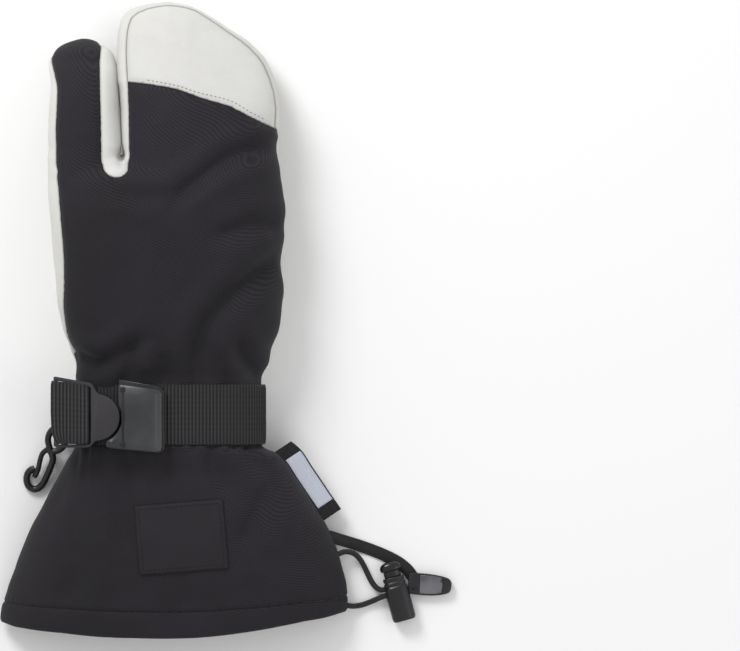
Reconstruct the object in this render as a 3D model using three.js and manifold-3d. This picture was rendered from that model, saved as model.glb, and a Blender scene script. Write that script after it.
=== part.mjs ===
// A lobster claw winter mitt for the right hand: the index finger has a section of its own, and the
// other three fingers share one. It lies palm down on the thumb, the fingertips and the cuff.
// Millimetres, +Z up, +Y towards the fingertips, +X towards the little finger.
import * as THREE from "three";
import { mergeVertices } from "three/addons/utils/BufferGeometryUtils.js";
import Module from "manifold-3d";

const wasm = await Module();
wasm.setup();

// Lengths along the mitt
const CUFF_LENGTH = 131;
const PALM_LENGTH = 123;
const FINGERS_LENGTH = 96;
const INDEX_LENGTH = 77;
const THUMB_LENGTH = 126;

// Widths across the mitt
const HEM_WIDTH = 190;
const WRIST_WIDTH = 102.5;
const HAND_WIDTH = 128;
const FINGERS_WIDTH = 90;
const INDEX_WIDTH = 36.7;
const THUMB_WIDTH = 60;
const FINGER_PARTING = 1.3;

// Heights above the floor of the wrist, the knuckles and the thumb
const WRIST_RISE = 50;
const HAND_RISE = 64.5;
const THUMB_RISE = 24;
const HEM_SWEEP = 15;

// Thickness of the lined and padded cloth and leather
const CUFF_WALL = 2.5;
const HAND_WALL = 4;
const THUMB_WALL = 3.5;

// Seams: how far each panel's border lies inside the outline
const EDGE_STRIP = 3.6;
const INDEX_STRIP = 7.5;
const PARTING_STRIP = 4.4;
const TIP_STRIP = 4.6;
const PALM_INSET = 7;
const THUMB_SIDE = 15;
const SEAM_GAP = 0.3;

// Wrist strap and its buckle
const STRAP_WIDTH = 33;
const STRAP_THICKNESS = 1.6;
const STRAP_CENTRE = 123.5;
const BUCKLE_RIGHT_END = -4;
const BUCKLE_TILT = THREE.MathUtils.degToRad(6.4);
const RECEIVER_LENGTH = 27;
const RECEIVER_WIDTH = 36;
const RECEIVER_HEIGHT = 9;
const DECK_LENGTH = 8;
const DECK_HEIGHT = 3.4;
const TONGUE_THICKNESS = 4;
const TONGUE_DISC_RADIUS = 12.6;
const TONGUE_FRAME_LENGTH = 20;
const TONGUE_FRAME_WIDTH = 38;
const PRONG_WIDTH = 20;
const PRONG_LENGTH = 9;
const PRONG_THICKNESS = 2.4;
const STRAP_SLOT = 3;

// Snap hook and the webbing loop that carries it
const HOOK_LENGTH = 35;
const HOOK_THICKNESS = 3.6;
const HOOK_DROP = 14;
const HOOK_HEIGHT = 10.4;
const HOOK_TILT = THREE.MathUtils.degToRad(15);
const HOOK_LOOP_WIDTH = 8;
const HOOK_LOOP_LENGTH = 12.4;
const HOOK_LOOP_THICKNESS = 1.2;

// Patches
const LABEL_WIDTH = 48;
const LABEL_HEIGHT = 37.5;
const LABEL_THICKNESS = 1;
const LABEL_TURN = THREE.MathUtils.degToRad(4.6);
const TAG_LENGTH = 37.5;
const TAG_WIDTH = 10.5;
const TAG_THICKNESS = 1.2;
const TAG_LABEL_THICKNESS = 0.5;

// Hem cord, its lock and its pull tab
const CORD_DIAMETER = 3;
const LOCK_LENGTH = 24.8;
const LOCK_WIDTH = 11.5;
const LOCK_HEIGHT = 9;
const LOCK_TURN = THREE.MathUtils.degToRad(15.5);
const BUTTON_WIDTH = 10.4;
const BUTTON_HEAD = 4.8;
const BUTTON_TRAVEL = 3.5;
const STEM_WIDTH = 7;
const STEM_THICKNESS = 5.8;
const TAPE_WIDTH = 6.6;
const TAPE_THICKNESS = 1.2;
const TAB_LENGTH = 22;
const TAB_WIDTH = 12;
const TAB_HEIGHT = 5;
const TAPE_POCKET = 7;

const crotch = CUFF_LENGTH + PALM_LENGTH;
const fingertip = crotch + FINGERS_LENGTH;

// Rows of numbers under named columns become rows with names.
function table(columns, rows) {
  return rows.map((row) => Object.fromEntries(columns.map((column, i) => [column, row[i]])));
}

// Sections of the cuff, from the hem to just past the strap. along is a share of the cuff's length,
// left and right go from 0 at the wrist's half width to 1 at the hem's, and the heights of the floor
// side, the back and the two side seams are shares of the wrist's height.
const cuffSections = table(
  ["along", "left", "right", "low", "high", "leftSeam", "rightSeam", "power"],
  [
    [0, 0.954, 1.046, -0.016, 0.8, 0.12, 0.12, 1.7],
    [0.153, 0.863, 1.03, -0.016, 0.88, 0.14, 0.14, 1.8],
    [0.305, 0.737, 0.97, -0.016, 0.94, 0.16, 0.16, 1.9],
    [0.458, 0.554, 0.817, -0.016, 0.97, 0.22, 0.22, 2],
    [0.584, 0.36, 0.577, -0.01, 0.97, 0.3, 0.28, 2.1],
    [0.687, 0.205, 0.371, 0.03, 0.96, 0.4, 0.34, 2.2],
    [0.74, 0.131, 0.269, 0.07, 0.98, 0.44, 0.38, 2.2],
    [0.785, 0.05, 0.12, 0.1, 1, 0.48, 0.42, 2.3],
    [0.807, 0.03, -0.02, 0.11, 1, 0.48, 0.42, 2.3],
    [1.09, 0.03, -0.02, 0.11, 1, 0.48, 0.42, 2.3],
  ],
);

// Sections of the hand, as shares of the palm's length, of the step from the wrist's half width to
// the hand's, and of the knuckles' height.
const palmSections = table(
  ["along", "left", "right", "low", "high", "leftSeam", "rightSeam", "power"],
  [
    [0.155, 0.1, 0.15, 0.11, 0.82, 0.42, 0.33, 2.3],
    [0.228, 0.373, 0.333, 0.16, 0.87, 0.5, 0.34, 2.4],
    [0.317, 0.647, 0.686, 0.23, 0.92, 0.56, 0.36, 2.4],
    [0.44, 0.882, 0.804, 0.31, 0.96, 0.62, 0.37, 2.5],
    [0.585, 1, 0.81, 0.37, 0.99, 0.65, 0.39, 2.5],
    [0.797, 1.133, 0.92, 0.4, 1, 0.66, 0.4, 2.5],
    [0.943, 1.235, 0.8, 0.4, 0.98, 0.65, 0.4, 2.5],
    [1, 1.267, 0.725, 0.395, 0.95, 0.64, 0.4, 2.4],
    [1.05, 1.1, 0.5, 0.42, 0.87, 0.63, 0.42, 2.3],
    [1.08, 0.7, 0.1, 0.46, 0.76, 0.61, 0.46, 2.2],
  ],
);

// Sections of the three-finger part. along is a share of its length past the crotch, and left and
// right are shares of its width, measured from the parting beside the index finger.
const fingerSections = table(
  ["along", "left", "right", "low", "high", "leftSeam", "rightSeam", "power"],
  [
    [-0.25, 0.03, 1, 0.43, 0.93, 0.58, 0.42, 2.4],
    [-0.04, 0.005, 1, 0.4, 0.93, 0.56, 0.4, 2.4],
    [0.167, 0, 0.985, 0.33, 0.89, 0.51, 0.39, 2.4],
    [0.281, 0, 0.995, 0.28, 0.86, 0.48, 0.37, 2.4],
    [0.39, 0, 1, 0.225, 0.82, 0.43, 0.34, 2.4],
    [0.51, 0, 0.985, 0.17, 0.76, 0.39, 0.3, 2.4],
    [0.62, 0, 0.945, 0.12, 0.68, 0.34, 0.26, 2.4],
    [0.729, 0, 0.885, 0.07, 0.59, 0.28, 0.22, 2.3],
    [0.8125, 0, 0.812, 0.04, 0.5, 0.23, 0.19, 2.3],
    [0.875, 0.01, 0.726, 0.016, 0.42, 0.19, 0.17, 2.2],
    [0.923, 0.028, 0.64, 0, 0.34, 0.16, 0.155, 2.2],
    [0.964, 0.078, 0.536, 0.008, 0.255, 0.13, 0.13, 2.1],
    [0.99, 0.172, 0.445, 0.04, 0.185, 0.11, 0.11, 2],
    [1, 0.26, 0.35, 0.08, 0.125, 0.1, 0.1, 2],
  ],
);

// Sections of the index finger. left and right are shares of its width, measured outwards from the
// parting.
const indexSections = table(
  ["along", "left", "right", "low", "high", "leftSeam", "rightSeam", "power"],
  [
    [-0.33, 0.93, 0.02, 0.46, 0.93, 0.66, 0.64, 2.3],
    [-0.05, 0.99, 0.01, 0.43, 0.93, 0.65, 0.62, 2.3],
    [0.21, 1, 0, 0.37, 0.88, 0.62, 0.59, 2.3],
    [0.48, 0.986, 0, 0.26, 0.8, 0.54, 0.51, 2.3],
    [0.636, 0.975, 0.003, 0.185, 0.73, 0.46, 0.43, 2.3],
    [0.753, 0.967, 0.005, 0.125, 0.65, 0.4, 0.37, 2.3],
    [0.83, 0.95, 0.02, 0.085, 0.57, 0.34, 0.32, 2.2],
    [0.896, 0.89, 0.06, 0.055, 0.5, 0.29, 0.28, 2.2],
    [0.948, 0.81, 0.17, 0.03, 0.4, 0.23, 0.23, 2.1],
    [0.98, 0.67, 0.28, 0.045, 0.31, 0.19, 0.19, 2],
    [1, 0.52, 0.42, 0.11, 0.2, 0.16, 0.16, 2],
  ],
);

// Sections of the thumb, which springs from inside the palm and lies folded under it. along is a
// share of its length, left and right of its width, and the heights are shares of its own height.
const thumbSections = table(
  ["along", "left", "right", "low", "high", "leftSeam", "rightSeam", "power"],
  [
    [0, -0.7, 0.03, 0.5, 1.42, 0.96, 0.92, 2.1],
    [0.11, -0.77, 0.08, 0.32, 1.27, 0.82, 0.76, 2.1],
    [0.27, -0.82, 0.12, 0.09, 1.13, 0.66, 0.58, 2.2],
    [0.4, -0.84, 0.14, 0, 1.04, 0.56, 0.5, 2.2],
    [0.52, -0.82, 0.145, -0.02, 0.98, 0.5, 0.46, 2.2],
    [0.67, -0.7, 0.148, -0.02, 0.95, 0.48, 0.44, 2.2],
    [0.81, -0.55, 0.14, -0.02, 0.93, 0.46, 0.44, 2.2],
    [0.9, -0.43, 0.1, 0, 0.86, 0.44, 0.43, 2.2],
    [0.95, -0.36, 0.05, 0.06, 0.76, 0.42, 0.42, 2.1],
    [0.985, -0.28, -0.02, 0.17, 0.6, 0.4, 0.4, 2],
    [1, -0.21, -0.1, 0.28, 0.48, 0.39, 0.39, 2],
  ],
);

// Folds in the back, each a straight crease. across is a share of half the hand's width, along is a
// share of the cuff's length up to 1 and of the palm's length after it. Depth and reach are shares
// of the wrist's height.
const folds = table(
  ["acrossFrom", "alongFrom", "acrossTo", "alongTo", "depth", "reach"],
  [
    [0.92, 2.11, 0.62, 2.06, 0.07, 0.13],
    [0.62, 2.06, 0.1, 1.87, 0.06, 0.14],
    [0.96, 1.78, 0.4, 1.69, 0.06, 0.13],
    [0.9, 1.58, 0.44, 1.39, 0.07, 0.14],
    [0.44, 1.39, 0.2, 1.12, 0.07, 0.13],
    [0.8, 1.3, 0.5, 1.14, 0.06, 0.12],
    [-0.8, 1.3, -0.4, 1.14, 0.06, 0.12],
    [-0.55, 0.76, -0.8, 0.5, 0.03, 0.12],
    [-0.1, 0.77, -0.07, 0.66, 0.03, 0.12],
    [0.4, 0.77, 0.62, 0.5, 0.03, 0.12],
  ],
);

const floorSideOf = (row, height) => ({
  low: row.low * height,
  high: row.high * height,
  leftSeam: row.leftSeam * height,
  rightSeam: row.rightSeam * height,
  power: row.power,
});

const betweenHalves = (narrow, wide, share) => (narrow + share * (wide - narrow)) / 2;

const trunk = [
  ...cuffSections.map((row) => ({
    y: row.along * CUFF_LENGTH,
    left: -betweenHalves(WRIST_WIDTH, HEM_WIDTH, row.left),
    right: betweenHalves(WRIST_WIDTH, HEM_WIDTH, row.right),
    ...floorSideOf(row, WRIST_RISE),
  })),
  ...palmSections.map((row) => ({
    y: CUFF_LENGTH + row.along * PALM_LENGTH,
    left: -betweenHalves(WRIST_WIDTH, HAND_WIDTH, row.left),
    right: betweenHalves(WRIST_WIDTH, HAND_WIDTH, row.right),
    ...floorSideOf(row, HAND_RISE),
  })),
];

// The parting between the index finger and the other three
const handRight = betweenHalves(WRIST_WIDTH, HAND_WIDTH, palmSections[7].right);
const partingRight = handRight - FINGERS_WIDTH;
const partingLeft = partingRight - FINGER_PARTING;

const fingers = fingerSections.map((row) => ({
  y: crotch + row.along * FINGERS_LENGTH,
  left: partingRight + row.left * FINGERS_WIDTH,
  right: partingRight + row.right * FINGERS_WIDTH,
  ...floorSideOf(row, HAND_RISE),
}));

const index = indexSections.map((row) => ({
  y: crotch + row.along * INDEX_LENGTH,
  left: partingLeft - row.left * INDEX_WIDTH,
  right: partingLeft - row.right * INDEX_WIDTH,
  ...floorSideOf(row, HAND_RISE),
}));

const thumbRoot = CUFF_LENGTH + 0.122 * PALM_LENGTH;
const thumb = thumbSections.map((row) => ({
  y: thumbRoot + row.along * THUMB_LENGTH,
  left: row.left * THUMB_WIDTH,
  right: row.right * THUMB_WIDTH,
  ...floorSideOf(row, THUMB_RISE),
}));

// The section at any y: a smooth curve through each column that never overshoots its rows.
function sectionAt(rows, y) {
  const last = rows.length - 1;
  const found = rows.findLastIndex((row) => row.y <= y);
  const i = Math.min(Math.max(found, 0), last - 1);
  const a = rows[i];
  const b = rows[i + 1];
  const step = b.y - a.y;
  const t = THREE.MathUtils.clamp((y - a.y) / step, 0, 1);
  const secant = (k, column) => (rows[k + 1][column] - rows[k][column]) / (rows[k + 1].y - rows[k].y);
  const slope = (k, column) => {
    if (k === 0 || k === last) return secant(Math.min(k, last - 1), column);
    const before = secant(k - 1, column);
    const after = secant(k, column);
    return before * after <= 0 ? 0 : (2 * before * after) / (before + after);
  };
  const section = { y };
  for (const column of ["left", "right", "low", "high", "leftSeam", "rightSeam", "power"]) {
    const ease = t * t * (3 - 2 * t);
    section[column] =
      THREE.MathUtils.lerp(a[column], b[column], ease) +
      slope(i, column) * step * t * (1 - t) * (1 - t) -
      slope(i + 1, column) * step * t * t * (1 - t);
  }
  return section;
}

const middleOf = (section) => (section.left + section.right) / 2;
const seamMiddle = (section) => (section.leftSeam + section.rightSeam) / 2;
const seamAt = (section, side) =>
  THREE.MathUtils.lerp(section.leftSeam, section.rightSeam, (side + 1) / 2);

// How far the folds press the back down at a point.
function foldDepth(x, y) {
  const place = (across, along) =>
    new THREE.Vector2(
      (across * HAND_WIDTH) / 2,
      Math.min(along, 1) * CUFF_LENGTH + Math.max(along - 1, 0) * PALM_LENGTH,
    );
  let depth = 0;
  for (const fold of folds) {
    const from = place(fold.acrossFrom, fold.alongFrom);
    const line = place(fold.acrossTo, fold.alongTo).sub(from);
    const offset = new THREE.Vector2(x, y).sub(from);
    const share = THREE.MathUtils.clamp(offset.dot(line) / line.lengthSq(), 0, 1);
    const distance = offset.sub(line.multiplyScalar(share)).length();
    depth += fold.depth * WRIST_RISE * Math.exp(-((distance / (fold.reach * WRIST_RISE)) ** 2));
  }
  return depth;
}

// A point of a section, inset by a wall. across and up are the cosine and sine of its angle.
function sectionPoint(section, across, up, inset) {
  const round = (value) => Math.sign(value) * Math.abs(value) ** (2 / section.power);
  const side = round(across);
  const half = (section.right - section.left) / 2 - inset;
  const above = section.high - seamMiddle(section) - inset;
  const below = seamMiddle(section) - section.low - inset;
  const x = middleOf(section) + half * side;
  const z = seamAt(section, side) + round(up) * (up > 0 ? above : below);
  return new THREE.Vector2(x, z);
}

// The height of the back above a point of the floor.
function backHeight(rows, x, y) {
  const section = sectionAt(rows, y);
  const side = (x - middleOf(section)) / ((section.right - section.left) / 2);
  const height = (1 - Math.min(Math.abs(side), 1) ** section.power) ** (1 / section.power);
  return seamAt(section, side) + height * (section.high - seamMiddle(section)) - foldDepth(x, y);
}

// A closed solid from a three.js geometry.
function solidOf(geometry) {
  const bare = geometry.index ? geometry.toNonIndexed() : geometry.clone();
  bare.deleteAttribute("normal");
  bare.deleteAttribute("uv");
  const merged = mergeVertices(bare, 1e-4);
  return new wasm.Manifold(
    new wasm.Mesh({
      numProp: 3,
      vertProperties: merged.attributes.position.array,
      triVerts: new Uint32Array(merged.index.array),
    }),
  );
}

// Moves each vertex of a geometry to the place that a function gives for it.
function reshape(geometry, move) {
  const positions = geometry.attributes.position;
  const from = new THREE.Vector3();
  for (let i = 0; i < positions.count; i++) {
    from.fromBufferAttribute(positions, i);
    const to = move(from);
    positions.setXYZ(i, to.x, to.y, to.z);
  }
  return geometry;
}

// The y of the rings of a tube: its table's rows, without those that lie too close together, and
// with rings between those that lie far apart.
function stationsOf(rows, { shortest, longest }, from, to) {
  const stops = [from];
  for (const row of rows) {
    if (row.y > stops.at(-1) + shortest && row.y < to - shortest / 3) stops.push(row.y);
  }
  stops.push(to);
  const stations = [from];
  for (let i = 1; i < stops.length; i++) {
    const steps = Math.ceil((stops[i] - stops[i - 1]) / longest);
    for (let k = 1; k <= steps; k++) {
      stations.push(THREE.MathUtils.lerp(stops[i - 1], stops[i], k / steps));
    }
  }
  return stations;
}

// The hem sweeps back towards the side seams.
function hemSweep(section, x, y) {
  const fade = Math.max(1 - y / (CUFF_LENGTH / 2), 0) ** 2;
  const side = Math.abs(x - middleOf(section)) / (HEM_WIDTH / 2);
  return y < 0 ? 0 : HEM_SWEEP * fade * side ** 2.2;
}

// A tube whose rings follow a table of sections, with both ends closed.
function sleeve(rows, { inset = 0, from = rows[0].y, to = rows.at(-1).y, mesh }) {
  const stations = stationsOf(rows, mesh, from, to);
  const sides = mesh.sides;
  const rings = stations.length - 1;
  const geometry = new THREE.CylinderGeometry(1, 1, 1, sides, rings);
  return solidOf(
    reshape(geometry, (point) => {
      const y = stations[Math.round((point.y + 0.5) * rings)];
      const section = sectionAt(rows, y);
      if (Math.hypot(point.x, point.z) < 0.5) {
        return new THREE.Vector3(middleOf(section), y, seamMiddle(section));
      }
      const place = sectionPoint(section, point.x, point.z, inset);
      const pressed = rows === trunk ? foldDepth(place.x, y) * Math.max(point.z, 0) : 0;
      const swept = rows === trunk ? hemSweep(section, place.x, y) : 0;
      return new THREE.Vector3(place.x, y + swept, place.y - pressed);
    }),
  );
}

// A box between two corners.
function block(low, high) {
  const size = new THREE.Vector3().subVectors(high, low);
  const geometry = new THREE.BoxGeometry(size.x, size.y, size.z);
  geometry.translate((low.x + high.x) / 2, (low.y + high.y) / 2, (low.z + high.z) / 2);
  return solidOf(geometry);
}

// Room around the mitt for the blocks that cut it
const FAR = 400;
const corner = (x, y, z) => new THREE.Vector3(x, y, z);

// Everything above a tube's side seams, between two values of y and two of x.
function aboveSeam(rows, { from, to, left, right, lift }) {
  const steps = Math.ceil((to - from) / 20);
  const geometry = new THREE.BoxGeometry(1, 1, 1, 1, steps, 1);
  return solidOf(
    reshape(geometry, (point) => {
      const y = THREE.MathUtils.lerp(from, to, point.y + 0.5);
      const section = sectionAt(rows, y);
      const x = point.x < 0 ? left : right;
      const side = (x - middleOf(section)) / ((section.right - section.left) / 2);
      const seam = seamAt(section, THREE.MathUtils.clamp(side, -1, 1)) + lift;
      return new THREE.Vector3(x, y, point.z > 0 ? FAR : seam);
    }),
  );
}

// An upright prism over an outline on the floor.
function prism(points) {
  const shape = new THREE.Shape(points.map((point) => new THREE.Vector2(point.x, point.y)));
  const geometry = new THREE.ExtrudeGeometry(shape, { depth: 2 * FAR, bevelEnabled: false });
  geometry.translate(0, 0, -FAR);
  return solidOf(geometry);
}

// Points along one side of a tube, seen from above.
function sideLine(rows, side, from, to, count) {
  const points = [];
  for (let i = 0; i < count; i++) {
    const y = THREE.MathUtils.lerp(from, to, i / (count - 1));
    points.push(new THREE.Vector2(sectionAt(rows, y)[side], y));
  }
  return points;
}

// A line moved to its right by a distance.
function moveLine(points, distance) {
  return points.map((point, i) => {
    const before = points[Math.max(i - 1, 0)];
    const after = points[Math.min(i + 1, points.length - 1)];
    const along = new THREE.Vector2().subVectors(after, before).normalize();
    return new THREE.Vector2(point.x + along.y * distance, point.y - along.x * distance);
  });
}

// The outline of a fingertip seen from above, from one side round to the other, drawn in towards the
// middle of the section where it starts.
function tipLine(rows, from, insets, count) {
  const tip = rows.at(-1).y;
  const start = sectionAt(rows, from);
  const centre = middleOf(start);
  const half = (start.right - start.left) / 2;
  const pull = (x, y, inset) =>
    new THREE.Vector2(
      centre + ((x - centre) * (half - inset)) / half,
      from + ((y - from) * (tip - from - insets.tip)) / (tip - from),
    );
  const up = sideLine(rows, "left", from, tip, count);
  const down = sideLine(rows, "right", tip, from, count);
  return [
    ...up.map((point) => pull(point.x, point.y, insets.left)),
    ...down.map((point) => pull(point.x, point.y, insets.right)),
  ];
}

// The border of a panel, walked from the wrist up the index side, round both tips and down again.
// Each stretch has its own distance inside the outline, and a negative one lies outside it.
function panelOutline(strips, grow) {
  const start = CUFF_LENGTH - 4;
  const palmEnd = crotch + 0.04 * FINGERS_LENGTH;
  const split = crotch + 0.1 * FINGERS_LENGTH;
  const indexTurn = crotch + 0.76 * INDEX_LENGTH;
  const fingersTurn = crotch + 0.29 * FINGERS_LENGTH;
  const indexTip = index.at(-1).y;
  const indexInsets = {
    left: strips.edge - grow,
    tip: strips.indexTip - grow,
    right: strips.indexInner - grow,
  };
  const fingersInsets = {
    left: strips.partingInner - grow,
    tip: strips.tip - grow,
    right: strips.tip - grow,
  };
  const overTip = [
    new THREE.Vector2(sectionAt(index, indexTurn).left + strips.edge - grow, indexTip + 9),
    new THREE.Vector2(partingLeft - strips.indexInner + grow, indexTip + 9),
  ];
  const indexEnd = strips.indexTip < 0 ? overTip : tipLine(index, indexTurn, indexInsets, 8);
  const notchCentre = (partingLeft + partingRight + strips.partingInner - strips.indexInner) / 2;
  const notchRadius = (strips.partingInner + strips.indexInner + FINGER_PARTING) / 2 - grow;
  const notch = [];
  for (let i = 1; i < 8; i++) {
    const angle = Math.PI + (Math.PI * i) / 8;
    const x = notchCentre + notchRadius * Math.cos(angle);
    notch.push(new THREE.Vector2(x, split + 1 + notchRadius * Math.sin(angle)));
  }
  return [
    ...moveLine(sideLine(trunk, "left", start, palmEnd, 8), strips.edge - grow),
    ...moveLine(sideLine(index, "left", split, indexTurn - 4, 4), strips.edge - grow),
    ...indexEnd,
    ...moveLine(sideLine(index, "right", indexTurn - 4, split + 4, 3), strips.indexInner - grow),
    ...notch,
    ...tipLine(fingers, fingersTurn, fingersInsets, 11),
    ...moveLine(sideLine(trunk, "right", crotch, start, 7), strips.littleSide - grow),
  ];
}

const OUTSIDE = -14;
const backStrips = {
  edge: EDGE_STRIP,
  indexTip: OUTSIDE,
  indexInner: INDEX_STRIP,
  partingInner: PARTING_STRIP,
  tip: TIP_STRIP,
  littleSide: OUTSIDE,
};
const palmStrips = {
  edge: PALM_INSET,
  indexTip: PALM_INSET,
  indexInner: PALM_INSET - 1,
  partingInner: PALM_INSET - 1,
  tip: PALM_INSET,
  littleSide: PALM_INSET,
};

// The hollow hand: three tubes joined outside and inside, then cut open where they meet
const floor = block(corner(-FAR, -FAR, -FAR), corner(FAR, FAR, 0));
const trunkMesh = { shortest: 2.5, longest: 17, sides: 28 };
const fingersMesh = { shortest: 2, longest: 17, sides: 20 };
const indexMesh = { shortest: 2, longest: 17, sides: 16 };
const liningMesh = { shortest: 14, longest: 32, sides: 14 };
const trunkOuter = sleeve(trunk, { mesh: trunkMesh });
const cuffInner = sleeve(trunk, {
  inset: CUFF_WALL,
  from: -12,
  to: CUFF_LENGTH + 1,
  mesh: { shortest: 12, longest: 24, sides: 24 },
});
const handInner = sleeve(trunk, {
  inset: HAND_WALL,
  from: CUFF_LENGTH - 2,
  to: trunk.at(-1).y - HAND_WALL,
  mesh: { shortest: 14, longest: 28, sides: 18 },
});
const fingersOuter = sleeve(fingers, { mesh: fingersMesh });
const fingersInner = sleeve(fingers, {
  inset: HAND_WALL,
  from: fingers[0].y - 2,
  to: fingertip - 1.8 * HAND_WALL,
  mesh: liningMesh,
});
const indexOuter = sleeve(index, { mesh: indexMesh });
const indexInner = sleeve(index, {
  inset: HAND_WALL,
  from: index[0].y - 2,
  to: index.at(-1).y - 1.8 * HAND_WALL,
  mesh: liningMesh,
});
const thumbOuter = sleeve(thumb, { mesh: indexMesh });
const thumbGrown = sleeve(thumb, { inset: -SEAM_GAP, mesh: indexMesh });
const thumbInner = sleeve(thumb, {
  inset: THUMB_WALL,
  from: thumb[0].y - 2,
  to: thumb.at(-1).y - 1.6 * THUMB_WALL,
  mesh: liningMesh,
});

const outer = trunkOuter.add(fingersOuter).add(indexOuter).subtract(floor);
const inner = handInner.add(fingersInner).add(indexInner);
const beforeWrist = block(corner(-FAR, -FAR, -FAR), corner(FAR, CUFF_LENGTH, FAR));
const beforeHand = block(corner(-FAR, -FAR, -FAR), corner(FAR, CUFF_LENGTH + SEAM_GAP, FAR));
const cuffSolid = trunkOuter.subtract(floor).subtract(cuffInner).intersect(beforeWrist);
const handShell = outer.subtract(inner).subtract(beforeHand);

// What lies above the side seams of the hand and of both finger sections
function upperHalf(lift) {
  const parting = (partingLeft + partingRight) / 2;
  const from = crotch - 0.5;
  const hand = { from: CUFF_LENGTH - 5, to: crotch, left: -FAR, right: FAR, lift };
  const indexPart = { from, to: fingertip + 20, left: -FAR, right: parting + 0.2, lift };
  const fingersPart = { from, to: fingertip + 20, left: parting - 0.2, right: FAR, lift };
  return aboveSeam(trunk, hand)
    .add(aboveSeam(index, indexPart))
    .add(aboveSeam(fingers, fingersPart));
}

// The cap's lower edge falls across the back from the parting to the little finger's side.
const capEdge = table(
  ["across", "along"],
  [
    [-0.005, 0.545],
    [0.05, 0.545],
    [0.18, 0.535],
    [0.37, 0.5],
    [0.5, 0.46],
    [0.69, 0.415],
    [0.81, 0.352],
    [0.9, 0.31],
    [0.98, 0.277],
    [1.3, 0.2],
  ],
);
function pastCapEdge(shift) {
  const line = capEdge.map(
    (row) =>
      new THREE.Vector2(
        partingRight + row.across * FINGERS_WIDTH,
        crotch + row.along * FINGERS_LENGTH + shift,
      ),
  );
  const [first, last] = [line[0], line.at(-1)];
  return prism([...line, new THREE.Vector2(last.x, FAR), new THREE.Vector2(first.x, FAR)]);
}

const backRegion = prism(panelOutline(backStrips, 0)).intersect(upperHalf(SEAM_GAP / 2));
const backRegionGrown = prism(panelOutline(backStrips, SEAM_GAP)).intersect(upperHalf(-SEAM_GAP / 2));
const palmRegion = prism(panelOutline(palmStrips, 0)).subtract(upperHalf(-SEAM_GAP / 2));
const palmRegionGrown = prism(panelOutline(palmStrips, SEAM_GAP)).subtract(upperHalf(SEAM_GAP / 2));
const wholeBack = handShell.intersect(backRegion);
const capSolid = wholeBack.intersect(pastCapEdge(0));
const backSolid = wholeBack.subtract(pastCapEdge(-SEAM_GAP));
const palmSolid = handShell.intersect(palmRegion).subtract(thumbGrown);
const gussetSolid = handShell
  .subtract(backRegionGrown)
  .subtract(palmRegionGrown)
  .subtract(thumbGrown);

// The thumb's wall, open into the hand, with the black panel on the side away from the palm
const thumbShell = thumbOuter.subtract(thumbInner).subtract(floor).subtract(inner);
const thumbSeam = sideLine(thumb, "left", thumb[0].y - 1, thumb.at(-1).y, 12);
function thumbPanelRegion(grow) {
  const border = moveLine(thumbSeam, THUMB_SIDE * 0.9 - grow);
  const last = border.at(-1);
  const outline = [
    ...border,
    new THREE.Vector2(last.x, thumb.at(-1).y + 10),
    new THREE.Vector2(FAR, thumb.at(-1).y + 10),
    new THREE.Vector2(FAR, thumb[0].y - 5),
    new THREE.Vector2(border[0].x, thumb[0].y - 5),
  ];
  const above = aboveSeam(thumb, {
    from: thumb[0].y - 8,
    to: thumb.at(-1).y + 12,
    left: -FAR,
    right: FAR,
    lift: grow,
  });
  return prism(outline).subtract(above);
}
const thumbBackSolid = thumbShell.intersect(thumbPanelRegion(0));
const thumbLeatherSolid = thumbShell.subtract(thumbPanelRegion(SEAM_GAP));

// Materials
const finish = (color, roughness, metalness = 0) =>
  new THREE.MeshStandardMaterial({ color, roughness, metalness });
const softshell = finish(0x302e34, 0.85);
const leather = finish(0xe2e2de, 0.7);
const webbing = finish(0x262628, 0.8);
const plastic = finish(0x2a2b2e, 0.35);
const clearGrey = finish(0x6d6f74, 0.3);
const labelWhite = finish(0xe8e8e8, 0.6);
const ribbon = finish(0x1c1c1e, 0.6);

const mitt = new THREE.Group();
const hardParts = new THREE.Group();
mitt.add(hardParts);

function geometryOf(solid) {
  const mesh = solid.getMesh();
  const geometry = new THREE.BufferGeometry();
  geometry.setAttribute("position", new THREE.BufferAttribute(mesh.vertProperties, 3));
  geometry.setIndex(new THREE.BufferAttribute(mesh.triVerts, 1));
  return geometry;
}

function addPiece(parent, name, geometry, material) {
  const mesh = new THREE.Mesh(geometry, material);
  mesh.name = name;
  parent.add(mesh);
  return mesh;
}

addPiece(mitt, "cuff", geometryOf(cuffSolid), softshell);
addPiece(mitt, "back_panel", geometryOf(backSolid), softshell);
addPiece(mitt, "fingertip_cap", geometryOf(capSolid), leather);
addPiece(mitt, "palm_panel", geometryOf(palmSolid), leather);
addPiece(mitt, "side_gusset", geometryOf(gussetSolid), leather);
addPiece(mitt, "thumb_back", geometryOf(thumbBackSolid), softshell);
addPiece(mitt, "thumb_leather", geometryOf(thumbLeatherSolid), leather);

// A band of webbing: a line seen along Y, given a thickness and the band's width.
function band(line, thickness, width, centre) {
  const upper = moveLine(line, -thickness / 2);
  const lower = moveLine(line, thickness / 2);
  const shape = new THREE.Shape([...upper, ...lower.reverse()]);
  const geometry = new THREE.ExtrudeGeometry(shape, { depth: width, bevelEnabled: false });
  geometry.rotateX(Math.PI / 2);
  geometry.translate(0, centre + width / 2, 0);
  return geometry;
}

// The wrist's own outline between two angles, moved out to the middle of the strap
const wristSection = sectionAt(trunk, STRAP_CENTRE);
const strapOffset = SEAM_GAP + STRAP_THICKNESS / 2;
function wristLine(fromAngle, toAngle, count) {
  const points = [];
  for (let i = 0; i <= count; i++) {
    const angle = THREE.MathUtils.degToRad(THREE.MathUtils.lerp(fromAngle, toAngle, i / count));
    points.push(sectionPoint(wristSection, Math.cos(angle), Math.sin(angle), -strapOffset));
  }
  return points;
}

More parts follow.
